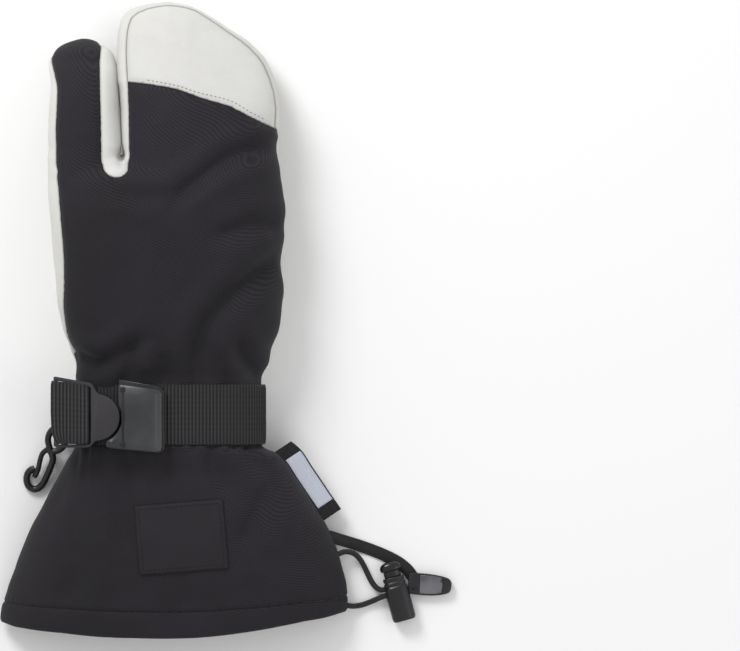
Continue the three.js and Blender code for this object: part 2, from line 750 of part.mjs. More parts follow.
const strapBackLine = wristLine(134, 0, 22);
const strapBack = band(strapBackLine, STRAP_THICKNESS, STRAP_WIDTH, STRAP_CENTRE);
addPiece(mitt, "strap_back", strapBack, webbing);

// The buckle lies level along Y on the strap, tilted down to the left, as low as the strap allows
const buckle = new THREE.Group();
const buckleLine = (x) => -Math.tan(BUCKLE_TILT) * (BUCKLE_RIGHT_END - x);
const strapTop = STRAP_THICKNESS / 2 + SEAM_GAP;
const buckleSeat = Math.max(
  ...strapBackLine
    .filter((point) => point.x < BUCKLE_RIGHT_END + 2)
    .map((point) => point.y + strapTop / Math.cos(BUCKLE_TILT) - buckleLine(point.x)),
);
buckle.position.set(BUCKLE_RIGHT_END, STRAP_CENTRE, buckleSeat + 0.1);
buckle.rotation.y = -BUCKLE_TILT;
hardParts.add(buckle);
buckle.updateMatrixWorld(true);

// A plate with round corners between two values of x, with its edges eased.
function roundedPlate({ left, right, width, low, high, radius, ease }) {
  const x = left + ease;
  const length = right - left - 2 * ease;
  const half = width / 2 - ease;
  const shape = new THREE.Shape();
  const r = Math.max(radius - ease, 0.2);
  shape.moveTo(x + r, -half);
  shape.lineTo(x + length - r, -half);
  shape.quadraticCurveTo(x + length, -half, x + length, -half + r);
  shape.lineTo(x + length, half - r);
  shape.quadraticCurveTo(x + length, half, x + length - r, half);
  shape.lineTo(x + r, half);
  shape.quadraticCurveTo(x, half, x, half - r);
  shape.lineTo(x, -half + r);
  shape.quadraticCurveTo(x, -half, x + r, -half);
  const geometry = new THREE.ExtrudeGeometry(shape, {
    depth: high - low - 2 * ease,
    bevelThickness: ease,
    bevelSize: ease,
    bevelSegments: 1,
    curveSegments: 3,
  });
  geometry.translate(0, 0, low + ease);
  return solidOf(geometry);
}

const tongueLow = DECK_HEIGHT + SEAM_GAP;
const tongueHigh = tongueLow + TONGUE_THICKNESS;
const prongLow = tongueLow + (TONGUE_THICKNESS - PRONG_THICKNESS) / 2;
const discCentre = -RECEIVER_LENGTH - SEAM_GAP - TONGUE_DISC_RADIUS;
const frameRight = discCentre + 1;
const frameLeft = frameRight - TONGUE_FRAME_LENGTH;

function receiverGeometry() {
  const deck = roundedPlate({
    left: -RECEIVER_LENGTH - DECK_LENGTH,
    right: -1,
    width: RECEIVER_WIDTH - 2,
    low: 0,
    high: DECK_HEIGHT,
    radius: 3,
    ease: 0.5,
  });
  const body = roundedPlate({
    left: -RECEIVER_LENGTH,
    right: 0,
    width: RECEIVER_WIDTH,
    low: 0,
    high: RECEIVER_HEIGHT,
    radius: 4,
    ease: 1.4,
  });
  const slot = block(
    corner(-RECEIVER_LENGTH - 1, -PRONG_WIDTH / 2 - SEAM_GAP, prongLow - SEAM_GAP),
    corner(
      -RECEIVER_LENGTH + PRONG_LENGTH + SEAM_GAP,
      PRONG_WIDTH / 2 + SEAM_GAP,
      prongLow + PRONG_THICKNESS + SEAM_GAP,
    ),
  );
  const groove = block(
    corner(-0.79 * RECEIVER_LENGTH, -RECEIVER_WIDTH, RECEIVER_HEIGHT - 1),
    corner(-0.74 * RECEIVER_LENGTH, RECEIVER_WIDTH, RECEIVER_HEIGHT + 1),
  );
  return geometryOf(deck.add(body).subtract(slot).subtract(groove));
}

function tongueGeometry() {
  const frame = roundedPlate({
    left: frameLeft,
    right: frameRight,
    width: TONGUE_FRAME_WIDTH,
    low: tongueLow,
    high: tongueHigh,
    radius: 3,
    ease: 0.6,
  });
  const disc = new THREE.CylinderGeometry(
    TONGUE_DISC_RADIUS,
    TONGUE_DISC_RADIUS,
    TONGUE_THICKNESS,
    32,
  );
  disc.rotateX(Math.PI / 2);
  disc.translate(discCentre, 0, (tongueLow + tongueHigh) / 2);
  const prong = block(
    corner(discCentre, -PRONG_WIDTH / 2, prongLow),
    corner(-RECEIVER_LENGTH + PRONG_LENGTH, PRONG_WIDTH / 2, prongLow + PRONG_THICKNESS),
  );
  const slotHalf = STRAP_WIDTH / 2 + SEAM_GAP;
  const slot = block(
    corner(slotRight - STRAP_SLOT, -slotHalf, tongueLow - 1),
    corner(slotRight, slotHalf, tongueHigh + 1),
  );
  return geometryOf(frame.add(solidOf(disc)).add(prong).subtract(slot));
}
const slotRight = frameRight - 2.6;

addPiece(buckle, "buckle_frame", receiverGeometry(), plastic);
addPiece(buckle, "buckle_tongue", tongueGeometry(), plastic);

// The other webbing rises through the tongue's slot, folds over its end and runs under the palm
const inBuckle = (x, z) => {
  const point = buckle.localToWorld(new THREE.Vector3(x, 0, z));
  return new THREE.Vector2(point.x, point.z);
};
const webCentre = STRAP_THICKNESS / 2 + SEAM_GAP;
const slotMiddle = slotRight - STRAP_SLOT / 2;
const sideStart = wristLine(186, 250, 16);
const loopPath = new THREE.SplineCurve([
  inBuckle(slotMiddle, tongueLow - 1.5),
  inBuckle(slotMiddle, tongueHigh - 0.8),
  inBuckle(slotMiddle - 1.5, tongueHigh + webCentre),
  inBuckle(slotMiddle - 5, tongueHigh + webCentre),
  inBuckle(frameLeft + 1, tongueHigh + webCentre),
  inBuckle(frameLeft - webCentre - 0.4, tongueHigh - 1),
  inBuckle(frameLeft - webCentre - 0.2, tongueLow - 1),
  inBuckle(frameLeft + 2, tongueLow - 8),
  inBuckle(frameLeft + 7.5, tongueLow - 16),
  sideStart[0],
  sideStart[3],
  sideStart[6],
  sideStart[9],
  sideStart[12],
  sideStart[16],
]);
const loopLine = loopPath.getPoints(42).reverse();
const strapLoop = band(loopLine, STRAP_THICKNESS, STRAP_WIDTH - 1, STRAP_CENTRE);
addPiece(mitt, "strap_loop", strapLoop, webbing);

// The snap hook, drawn about the middle of its D ring as shares of its length: outline, ring hole
// and slot
const hook = new THREE.Group();
const hookOutline = table(
  ["x", "y"],
  [
    [-0.1714, 0.1771],
    [0.1886, 0.1771],
    [0.2457, 0.1143],
    [0.2457, -0.0686],
    [0.0286, -0.1829],
    [-0.04, -0.2457],
    [-0.2086, -0.6171],
    [-0.2857, -0.7543],
    [-0.4, -0.8257],
    [-0.5314, -0.7657],
    [-0.5971, -0.6257],
    [-0.5429, -0.4857],
    [-0.44, -0.4057],
    [-0.3943, -0.2686],
    [-0.2514, -0.1429],
    [-0.24, 0.0743],
  ],
);
const ringHole = table(
  ["x", "y"],
  [
    [-0.14, 0.0914],
    [-0.1543, 0.0171],
    [-0.0857, -0.1029],
    [0.0114, -0.1086],
    [0.1629, -0.04],
    [0.1629, 0.0914],
  ],
);
const hookSlot = table(
  ["x", "y"],
  [
    [-0.24, -0.2686],
    [-0.3029, -0.4457],
    [-0.3714, -0.5543],
    [-0.4629, -0.56],
    [-0.4943, -0.64],
    [-0.44, -0.7229],
    [-0.36, -0.7029],
    [-0.2971, -0.5829],
    [-0.1971, -0.3029],
  ],
);
const pathOf = (rows) =>
  rows.map((row) => new THREE.Vector2(row.x, row.y).multiplyScalar(HOOK_LENGTH));
function hookGeometry() {
  const ease = 0.8;
  const shape = new THREE.Shape(pathOf(hookOutline));
  shape.holes.push(new THREE.Path(pathOf(ringHole)), new THREE.Path(pathOf(hookSlot)));
  const geometry = new THREE.ExtrudeGeometry(shape, {
    depth: HOOK_THICKNESS - 2 * ease,
    bevelThickness: ease,
    bevelSize: ease * 0.6,
    bevelOffset: -ease * 0.6,
    bevelSegments: 1,
  });
  geometry.translate(0, 0, ease - HOOK_THICKNESS / 2);
  return geometry;
}
const hookAxis = new THREE.Vector3(0.86, -0.51, 0).normalize();
const strapBeside = sideStart.filter(
  (point) => Math.abs(point.y - HOOK_HEIGHT) < HOOK_HEIGHT / 2,
);
const strapLeft = Math.min(...strapBeside.map((point) => point.x)) - STRAP_THICKNESS / 2;
const hookReach = Math.max(...pathOf(hookOutline).map((point) => point.x));
hook.position.set(strapLeft - SEAM_GAP - hookReach, STRAP_CENTRE - HOOK_DROP, HOOK_HEIGHT);
hook.quaternion.setFromAxisAngle(hookAxis, HOOK_TILT);
hardParts.add(hook);
addPiece(hook, "snap_hook", hookGeometry(), plastic);
hook.updateMatrixWorld(true);

// The loop of narrow webbing through the D ring, up to the strap above it
function hookLoopGeometry() {
  const half = HOOK_THICKNESS / 2 + 0.9 + HOOK_LOOP_THICKNESS;
  const ring = (inset) => {
    const radius = half - inset;
    const points = [];
    for (let i = 0; i <= 6; i++) {
      const angle = -Math.PI / 2 + (Math.PI * i) / 6;
      const along = HOOK_LOOP_LENGTH / 2 - half + radius * Math.cos(angle);
      points.push(new THREE.Vector2(along, radius * Math.sin(angle)));
    }
    return [...points, ...points.map((point) => new THREE.Vector2(-point.x, -point.y))];
  };
  const shape = new THREE.Shape(ring(0));
  shape.holes.push(new THREE.Path(ring(HOOK_LOOP_THICKNESS)));
  const geometry = new THREE.ExtrudeGeometry(shape, { depth: HOOK_LOOP_WIDTH, bevelEnabled: false });
  geometry.translate(0, 0, -HOOK_LOOP_WIDTH / 2);
  geometry.rotateY(Math.PI / 2);
  return geometry;
}
const hookLoop = addPiece(hardParts, "hook_loop", hookLoopGeometry(), webbing);
const barMiddle = hook.localToWorld(new THREE.Vector3(0, 0.134 * HOOK_LENGTH, 0));
const hookLoopLow = barMiddle.z - HOOK_THICKNESS / 2 - HOOK_LOOP_THICKNESS - 1.3;
hookLoop.position.set(barMiddle.x + 0.9, barMiddle.y, hookLoopLow + HOOK_LOOP_LENGTH / 2);

// A thin patch that follows the back of the cuff. place turns shares across and up the patch into
// a point on the floor below it.
function patchOnCuff(place, across, up, thickness) {
  const geometry = new THREE.BoxGeometry(1, 1, 1, across, up, 1);
  return reshape(geometry, (point) => {
    const below = place(point.x, point.y);
    const height = backHeight(trunk, below.x, below.y) + 2 * SEAM_GAP;
    return new THREE.Vector3(below.x, below.y, height + (point.z + 0.5) * thickness);
  });
}

const labelPlace = (u, v) => {
  const offset = new THREE.Vector2(u * LABEL_WIDTH, v * LABEL_HEIGHT);
  offset.rotateAround(new THREE.Vector2(), LABEL_TURN);
  return offset.add(new THREE.Vector2(0.031 * HEM_WIDTH, 0.43 * CUFF_LENGTH));
};
const cuffLabel = patchOnCuff(labelPlace, 6, 5, LABEL_THICKNESS);
addPiece(mitt, "cuff_label", cuffLabel, ribbon);

// The folded ribbon in the little finger's side seam, standing out from the cuff
const tagFrom = cuffSections[7].along * CUFF_LENGTH;
const trunkStations = stationsOf(trunk, trunkMesh, trunk[0].y, trunk.at(-1).y);
function ringEdge(y) {
  const next = trunkStations.findIndex((station) => station > y);
  const [before, after] = [trunkStations[next - 1], trunkStations[next]];
  const [inner, outer] = [sectionAt(trunk, before), sectionAt(trunk, after)];
  return THREE.MathUtils.mapLinear(y, before, after, inner.right, outer.right);
}
const tagOut = new THREE.Vector2(0.83, 0.55).normalize();
function tagPoint(along, out) {
  const y = tagFrom - along * TAG_LENGTH;
  const section = sectionAt(trunk, y);
  const sweep = hemSweep(section, section.right, y);
  const x = ringEdge(y) + 2 * SEAM_GAP + out * TAG_WIDTH * tagOut.x;
  const z = section.rightSeam - 3 * out - TAG_THICKNESS / 2;
  return new THREE.Vector3(x, y + sweep + out * TAG_WIDTH * tagOut.y, z);
}
function tagGeometry(range, lift, thickness) {
  const geometry = new THREE.BoxGeometry(1, 1, 1, 6, 2, 1);
  return reshape(geometry, (point) => {
    const along = THREE.MathUtils.lerp(range.from, range.to, point.x + 0.5);
    const out = THREE.MathUtils.lerp(range.inner, range.outer, 0.5 + point.y);
    const place = tagPoint(along, out);
    place.z += lift + (point.z + 0.5) * thickness;
    return place;
  });
}
const tagRange = { from: 0, to: 1, inner: 0, outer: 1 };
const tagLabelRange = { from: 0.14, to: 0.86, inner: 0.12, outer: 0.88 };
addPiece(mitt, "side_tag", tagGeometry(tagRange, 0, TAG_THICKNESS), ribbon);
const tagLabelLift = TAG_THICKNESS + SEAM_GAP;
const tagLabel = tagGeometry(tagLabelRange, tagLabelLift, TAG_LABEL_THICKNESS);
addPiece(mitt, "side_tag_label", tagLabel, labelWhite);

// The cord lock lies on its side beside the hem, its cross bore level with the cords
const lock = new THREE.Group();
lock.position.set(0.66 * HEM_WIDTH, 0.164 * CUFF_LENGTH, SEAM_GAP);
lock.rotation.z = LOCK_TURN;
mitt.add(lock);
const boreHeight = LOCK_HEIGHT / 2;
const cordPitch = CORD_DIAMETER + SEAM_GAP;
const boreMiddle = 5.4;
const boreHalf = cordPitch / 2 + CORD_DIAMETER / 2 + SEAM_GAP;
const boreRise = CORD_DIAMETER / 2 + SEAM_GAP;
const lockTop = LOCK_LENGTH / 2;
const stemBottom = boreMiddle - boreHalf - 3.6;

function lockPlate(from, to, width, low, high, radius, ease) {
  const plate = roundedPlate({ left: from, right: to, width, low, high, radius, ease });
  return plate.rotate([0, 0, 90]);
}

function barrelGeometry() {
  const body = lockPlate(-lockTop, lockTop, LOCK_WIDTH, 0, LOCK_HEIGHT, 2.5, 1.6);
  const cavity = block(
    corner(
      -STEM_WIDTH / 2 - SEAM_GAP,
      stemBottom - BUTTON_TRAVEL - SEAM_GAP,
      boreHeight - STEM_THICKNESS / 2 - SEAM_GAP,
    ),
    corner(STEM_WIDTH / 2 + SEAM_GAP, LOCK_LENGTH, boreHeight + STEM_THICKNESS / 2 + SEAM_GAP),
  );
  const bore = block(
    corner(-LOCK_WIDTH, boreMiddle - boreHalf, boreHeight - boreRise),
    corner(LOCK_WIDTH, boreMiddle + boreHalf, boreHeight + boreRise),
  );
  return geometryOf(body.subtract(cavity).subtract(bore));
}

function buttonGeometry() {
  const headFrom = lockTop + BUTTON_TRAVEL + SEAM_GAP;
  const head = lockPlate(headFrom, headFrom + BUTTON_HEAD, BUTTON_WIDTH, 1.8, LOCK_HEIGHT - 1, 2.2, 1);
  const stem = block(
    corner(-STEM_WIDTH / 2, stemBottom, boreHeight - STEM_THICKNESS / 2),
    corner(STEM_WIDTH / 2, headFrom + 1.5, boreHeight + STEM_THICKNESS / 2),
  );
  const slot = block(
    corner(-LOCK_WIDTH, boreMiddle - boreHalf, boreHeight - boreRise),
    corner(LOCK_WIDTH, boreMiddle + boreHalf + BUTTON_TRAVEL, boreHeight + boreRise),
  );
  return geometryOf(head.add(stem.subtract(slot)));
}

addPiece(lock, "cord_lock_barrel", barrelGeometry(), plastic);
addPiece(lock, "cord_lock_button", buttonGeometry(), plastic);

// Routes of the two strands of the hem cord, from the cuff into the lock
const cordA = [
  [92.6, 46.6, 8.6],
  [96, 47.6, 7.2],
  [100, 46.8, 5.2],
  [103.4, 44, 3.4],
  [106, 39.8, 2.3],
  [108.2, 35.1, 2],
  [110.5, 30.6, 2.5],
  [113.2, 27.5, 3.6],
  [115.6, 26.4, 4.4],
  [118, 26.77, 4.8],
  [121, 27.6, 4.8],
  [128.53, 29.69, 4.8],
];
const cordB = [
  [98.6, 17.6, 5.4],
  [101.2, 17.5, 3.6],
  [104.5, 18, 2.3],
  [108.2, 19.2, 2],
  [112, 20.8, 2.6],
  [115.6, 22.4, 3.9],
  [118.6, 23.5, 4.7],
  [122, 24.45, 4.8],
  [129.41, 26.5, 4.8],
];

function cordGeometry(route) {
  const curve = new THREE.CatmullRomCurve3(route.map((point) => new THREE.Vector3(...point)));
  const section = new THREE.Shape();
  section.absarc(0, 0, CORD_DIAMETER / 2, 0, 2 * Math.PI);
  return new THREE.ExtrudeGeometry(section, {
    steps: Math.round(curve.getLength() / (2.5 * CORD_DIAMETER)) + 4,
    curveSegments: 4,
    extrudePath: curve,
    bevelEnabled: false,
  });
}
addPiece(mitt, "drawcord_a", cordGeometry(cordA), webbing);
addPiece(mitt, "drawcord_b", cordGeometry(cordB), webbing);

// The flat tape from the cuff round the lock's head to the pull tab
const tapeRoute = [
  [91.8, 54.6, 9.4],
  [95.6, 53.4, 6.2],
  [100, 52, 2.8],
  [106, 50, 1],
  [113, 47.4, 0.9],
  [119.5, 44.6, 0.9],
  [125.4, 41.4, 0.9],
  [130, 37.6, 0.9],
  [132.6, 34.2, 0.9],
  [134.4, 30.8, 0.9],
];
function tapeGeometry() {
  const curve = new THREE.CatmullRomCurve3(tapeRoute.map((point) => new THREE.Vector3(...point)));
  const geometry = new THREE.BoxGeometry(1, 1, 1, 18, 1, 1);
  return reshape(geometry, (point) => {
    const share = point.x + 0.5;
    const along = curve.getTangent(share);
    const across = new THREE.Vector3(-along.y, along.x, 0).normalize();
    const place = curve.getPoint(share).addScaledVector(across, point.y * TAPE_WIDTH);
    place.z += point.z * TAPE_THICKNESS;
    return place;
  });
}
addPiece(mitt, "retaining_tape", tapeGeometry(), webbing);

const tabBody = roundedPlate({
  left: 0,
  right: TAB_LENGTH,
  width: TAB_WIDTH,
  low: 0,
  high: TAB_HEIGHT,
  radius: 4,
  ease: 1,
});
const tapePocket = block(
  corner(-1, -TAB_WIDTH, -1),
  corner(TAPE_POCKET, TAB_WIDTH, TAPE_THICKNESS + SEAM_GAP),
);
const tab = addPiece(mitt, "cord_end_tab", geometryOf(tabBody.subtract(tapePocket)), clearGrey);
tab.position.set(132.4, 29.8, SEAM_GAP);
tab.rotation.z = THREE.MathUtils.degToRad(-3);

// The origin lies under the middle of the mitt itself, without the cord and what is on it.
const CORD_PIECES = ["drawcord_a", "drawcord_b", "retaining_tape", "cord_end_tab"];
const box = new THREE.Box3();
mitt.updateMatrixWorld(true);
mitt.traverse((piece) => {
  const onCord = CORD_PIECES.includes(piece.name) || piece.parent === lock;
  if (piece.isMesh && !onCord) box.expandByObject(piece, true);
});
const middle = box.getCenter(new THREE.Vector3());
mitt.position.set(-middle.x, -middle.y, -box.min.z);

const part = new THREE.Group();
part.add(mitt);

export default part;
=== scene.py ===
# %% [markdown]
# # A lobster claw mitt, made in cells
# The real thing is a winter mitt with one section for the index finger, one for the other three
# fingers and one for the thumb. A black cuff widens to the hem, a webbing strap with a buckle
# closes the wrist, and an elastic cord with a lock draws the hem in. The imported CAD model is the
# frame: it fixes every size and place, and the cells below dress it.

# %% Load the frame
import math

import bmesh
import bpy
import numpy as np
from mathutils import Matrix, Vector, noise
from mathutils.bvhtree import BVHTree


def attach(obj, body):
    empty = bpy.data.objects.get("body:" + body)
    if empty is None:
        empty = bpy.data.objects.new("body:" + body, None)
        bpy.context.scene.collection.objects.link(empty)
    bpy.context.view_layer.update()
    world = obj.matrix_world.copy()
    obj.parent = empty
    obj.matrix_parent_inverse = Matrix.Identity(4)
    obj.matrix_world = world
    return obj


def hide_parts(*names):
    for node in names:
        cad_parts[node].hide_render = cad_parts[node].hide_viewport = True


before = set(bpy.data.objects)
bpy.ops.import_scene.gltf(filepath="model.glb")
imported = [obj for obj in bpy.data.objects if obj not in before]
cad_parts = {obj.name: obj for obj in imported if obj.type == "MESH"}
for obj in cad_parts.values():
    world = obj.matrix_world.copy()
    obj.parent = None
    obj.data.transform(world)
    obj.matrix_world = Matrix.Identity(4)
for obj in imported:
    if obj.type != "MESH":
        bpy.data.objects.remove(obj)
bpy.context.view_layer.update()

# %% [markdown]
# ## From the cutting table to the frame
# The tables below are in millimetres from the middle of the hem, as a pattern cutter would lay
# them out. The frame is in metres, with its origin under the middle of the mitt, so one small
# function carries every point across.

# %% Millimetres on the pattern to metres in the frame
ORIGIN = np.array([2.0125, 175.0, 0.0])


def to_frame(points):
    return (np.asarray(points, float) - ORIGIN) / 1000


print("hem's middle is at", to_frame([0, 0, 0]).round(4))

# %% [markdown]
# ## The camera
# The photograph looks straight down, so the outline is true to size all over. A long lens keeps
# the side walls hidden, as a product photographer's does. The frame takes in 407 mm across.

# %% Camera straight above
LENS = 600.0
VIEW_WIDTH = 0.407
camera_data = bpy.data.cameras.new("view_from_above")
camera_data.lens = LENS
camera_data.sensor_width = 36.0
camera = bpy.data.objects.new("view_from_above", camera_data)
bpy.context.scene.collection.objects.link(camera)
camera.location = (0.1074, -0.0026, 0.03 + VIEW_WIDTH * LENS / 36.0)
bpy.context.scene.camera = camera
print("camera is", round(camera.location.z, 3), "m above the floor")

# %% [markdown]
# ## Shader maths as Python
# A node material is a graph of small sums. Written out node by node it is long and hard to read,
# so one class stands for a socket and lets an expression such as 1 - mask * 0.5 build its own Math
# nodes. Colours and vectors go through Mix and Vector Math, because a Math node would grey them.

# %% A socket that can be added, multiplied and bent
class Socket:
    def __init__(self, tree, link):
        self.tree = tree
        self.link = link

    def node(self, kind, settings=None, values=None, out=0):
        made = self.tree.nodes.new(kind)
        for name, value in (settings or {}).items():
            setattr(made, name, value)
        for name, value in (values or {}).items():
            if isinstance(value, Socket):
                self.tree.links.new(value.link, made.inputs[name])
            else:
                made.inputs[name].default_value = value
        return Socket(self.tree, made.outputs[out])

    def sum(self, operation, *terms):
        values = dict(enumerate(terms))
        return self.node("ShaderNodeMath", {"operation": operation}, values)

    def __add__(self, other):
        return self.sum("ADD", self, other)

    def __sub__(self, other):
        return self.sum("SUBTRACT", self, other)

    def __rsub__(self, other):
        return self.sum("SUBTRACT", other, self)

    def __mul__(self, other):
        return self.sum("MULTIPLY", self, other)

    __radd__ = __add__
    __rmul__ = __mul__

    def between(self, low, high, from_value=0.0, to_value=1.0):
        values = {"Value": self, "From Min": low, "From Max": high}
        values.update({"To Min": from_value, "To Max": to_value})
        return self.node("ShaderNodeMapRange", {"clamp": True}, values)

    def mix(self, first, second):
        values = {"Factor": self, 6: first, 7: second}
        return self.node("ShaderNodeMix", {"data_type": "RGBA"}, values, out=2)


def rgb(red, green, blue):
    """A colour read off a screen, 0 to 255, as the linear values that a shader takes."""
    def linear(value):
        value /= 255
        return value / 12.92 if value <= 0.04045 else ((value + 0.055) / 1.055) ** 2.4
    return (linear(red), linear(green), linear(blue), 1.0)


class Finish:
    """A material with one Principled shader, its place on the object and its own small helpers."""

    def __init__(self, name, **constants):
        self.material = bpy.data.materials.new(name)
        self.material.use_nodes = True
        self.tree = self.material.node_tree
        self.shader = next(n for n in self.tree.nodes if n.type == "BSDF_PRINCIPLED")
        for socket, value in constants.items():
            self.shader.inputs[socket.replace("_", " ")].default_value = value
        self.start = Socket(self.tree, None)
        self.place = self.start.node("ShaderNodeTexCoord", out="Object")
        self.uv = self.start.node("ShaderNodeTexCoord", out="UV")

    def axes(self, vector):
        made = self.tree.nodes.new("ShaderNodeSeparateXYZ")
        self.tree.links.new(vector.link, made.inputs[0])
        return [Socket(self.tree, output) for output in made.outputs]

    def noise(self, vector, scale, detail=2.0, roughness=0.5):
        values = {"Vector": vector, "Scale": scale, "Detail": detail, "Roughness": roughness}
        return self.start.node("ShaderNodeTexNoise", None, values)

    def seam_shade_mask(self, low, high):
        """Mask for painted seam shade: 0 in a seam, 1 from that many millimetres away, read from
        the piece's own numbers.
        """
        settings = {"attribute_name": "seam"}
        return self.start.node("ShaderNodeAttribute", settings, out="Fac").between(low, high)

    def set(self, **sockets):
        for socket, value in sockets.items():
            self.tree.links.new(value.link, self.shader.inputs[socket.replace("_", " ")])

    def bump(self, height, distance, strength=1.0):
        values = {"Height": height, "Distance": distance, "Strength": strength}
        self.set(Normal=self.start.node("ShaderNodeBump", None, values))


print("a mid grey of 128 is", round(rgb(128, 128, 128)[0], 3), "in the shader")

# %% [markdown]
# ## Black softshell
# The cuff and the back are a tightly woven face cloth on a padded lining. From close by it shows
# fine diagonal ribs, and the light shows faint waves where the weave drifts. Two crossed sine
# waves on the piece's own position make the ribs, and a slow noise shifts the tone a little.

# %% Softshell
def softshell_finish():
    finish = Finish("black_softshell", Sheen_Weight=0.04, Specular_IOR_Level=0.25)
    x, y, z = finish.axes(finish.place)
    drift = finish.noise(finish.place, 22, 1.0) * 0.004
    rib = (x * 0.8 + y + z * 0.9 + drift) * 5200
    rib = finish.start.sum("SINE", rib)
    cross = finish.start.sum("SINE", (x - y * 0.55 + z * 0.6) * 6400)
    weave = rib * 0.5 + cross * 0.2
    slow = finish.noise(finish.place, 14, 3.0, 0.6)
    lint = finish.noise(finish.place, 900, 1.0)
    bent = finish.noise(finish.place, 17, 1.0) * 0.021
    swirl = finish.start.sum("SINE", (x * 0.5 + y + z + bent) * 4300)
    tone = slow.between(0.35, 0.7) * 0.4 + lint * 0.3 + weave * 0.15 + swirl * 0.26 + 0.15
    cloth = tone.between(0, 1).mix(rgb(21, 19, 23), rgb(46, 43, 49))
    # Painted shade: the cloth is darkened within 1.1 mm of each seam, where the seam's dip would
    # lie in shade.
    finish.set(Base_Color=finish.seam_shade_mask(0.0, 1.1).mix(rgb(14, 13, 16), cloth))
    finish.set(Roughness=slow.between(0.3, 0.7, 0.74, 0.88))
    finish.bump(weave * 0.5 + lint * 0.8, 0.00016, 0.7)
    return finish.material


softshell = softshell_finish()
print("made", softshell.name)

# %% [markdown]
# ## Off-white leather
# The palm, the side strips and the cap are soft grained leather. Real grain is a net of small
# cells with broad, dull creases in it. Voronoi cells with a noise that bends them give the grain,
# and a slow noise dirties the tone slightly where the leather is handled.

# %% Leather
def leather_finish(name, light, dark, shade, grain=0.00012):
    finish = Finish(name, Sheen_Weight=0.05, Specular_IOR_Level=0.3)
    bent = finish.noise(finish.place, 260, 2.0)
    pulled = finish.start.node(
        "ShaderNodeVectorMath",
        {"operation": "MULTIPLY_ADD"},
        {0: finish.place, 1: (1, 1, 1), 2: finish.start.node(
            "ShaderNodeCombineXYZ", None, {"X": bent * 0.0016, "Y": bent * 0.0012})},
    )
    cells = finish.start.node(
        "ShaderNodeTexVoronoi", {"feature": "DISTANCE_TO_EDGE"}, {"Vector": pulled, "Scale": 900})
    pores = cells.between(0.0, 0.16)
    slow = finish.noise(finish.place, 18, 4.0, 0.6)
    fine = finish.noise(finish.place, 420, 3.0, 0.6)
    tone = slow.between(0.3, 0.7) * 0.7 + fine * 0.3
    hide = tone.mix(dark, light)
    # Painted shade: the hide is darkened towards the seam colour within 0.75 mm of each seam.
    finish.set(Base_Color=finish.seam_shade_mask(0.0, 0.75).mix(shade, hide))
    finish.set(Roughness=slow.between(0.3, 0.7, 0.62, 0.72))
    finish.bump(pores * 0.5 + fine * 1.2, grain, 0.55)
    return finish.material


# Colour of the painted shade in the leather's seams.
SEAM_SHADE = rgb(150, 147, 140)
white_leather = leather_finish("white_leather", rgb(217, 217, 214), rgb(201, 200, 196), SEAM_SHADE)
palm_leather = leather_finish("palm_leather", rgb(224, 221, 214), rgb(208, 204, 196), SEAM_SHADE)
print("made", white_leather.name, palm_leather.name)

# %% [markdown]
# ## Webbing, cord and plastic
# Webbing has ribs across it, a cord is braided, and moulded plastic has a very fine spark texture.
# The ribs and the braid must follow the piece, so they read the piece's own UV map, whose first
# number is the length along the band in millimetres.

# %% Webbing and elastic cord
def webbing_finish(name, light, dark, pitch, thread_pitch=0.55, thread_share=0.12):
    finish = Finish(name, Sheen_Weight=0.06, Specular_IOR_Level=0.25)
    along, across, _ = finish.axes(finish.uv)
    rib = finish.start.sum("SINE", along * (2 * math.pi / pitch)) * 0.5 + 0.5
    thread = finish.start.sum("SINE", across * (2 * math.pi / thread_pitch)) * 0.5 + 0.5
    lint = finish.noise(finish.place, 700, 2.0)
    # The ribs and threads are painted light on their crests as highlight and dark between them as
    # shade; the lint noise is the cloth's own tone.
    tone = rib * 0.75 + thread * thread_share + lint * 0.25
    finish.set(Base_Color=tone.between(0.1, 1).mix(dark, light))
    finish.set(Roughness=lint.between(0.2, 0.8, 0.66, 0.84))
    finish.bump(rib * 0.6 + thread * rib * 0.5 + lint * 0.3, 0.00022, 0.8)
    return finish.material


def braid_finish(name, light, dark):
    finish = Finish(name, Sheen_Weight=0.06, Specular_IOR_Level=0.3)
    along, around, _ = finish.axes(finish.uv)
    right = finish.start.sum("SINE", (along * 1.5 + around * 4) * (2 * math.pi)) * 0.5 + 0.5
    left = finish.start.sum("SINE", (along * 1.5 - around * 4) * (2 * math.pi)) * 0.5 + 0.5
    strands = finish.start.sum("MAXIMUM", right, left)
    finish.set(Base_Color=strands.mix(dark, light))
    finish.set(Roughness=strands.between(0, 1, 0.8, 0.65))
    finish.bump(strands, 0.0002, 0.8)
    return finish.material


RIB = 1.95
strap_webbing = webbing_finish("strap_webbing", rgb(62, 62, 64), rgb(9, 9, 11), RIB)
ribbon_cloth = webbing_finish("ribbon_cloth", rgb(40, 40, 42), rgb(20, 20, 22), 0.8)
tape_weave = webbing_finish("tape_weave", rgb(46, 46, 48), rgb(12, 12, 13), 0.5, 1.6, 0.8)
cord_braid = braid_finish("cord_braid", rgb(48, 48, 50), rgb(14, 14, 15))
print("made", strap_webbing.name, ribbon_cloth.name, cord_braid.name)

# %% Moulded plastic and labels
def plastic_finish(name, light, dark, low, high, spark=0.00004):
    finish = Finish(name, Coat_Roughness=0.3)
    slow = finish.noise(finish.place, 60, 2.0)
    fine = finish.noise(finish.place, 2600, 2.0)
    finish.set(Base_Color=slow.between(0.3, 0.7).mix(dark, light))
    finish.set(Roughness=slow.between(0.3, 0.7, low, high))
    finish.bump(fine, spark, 0.5)
    return finish.material


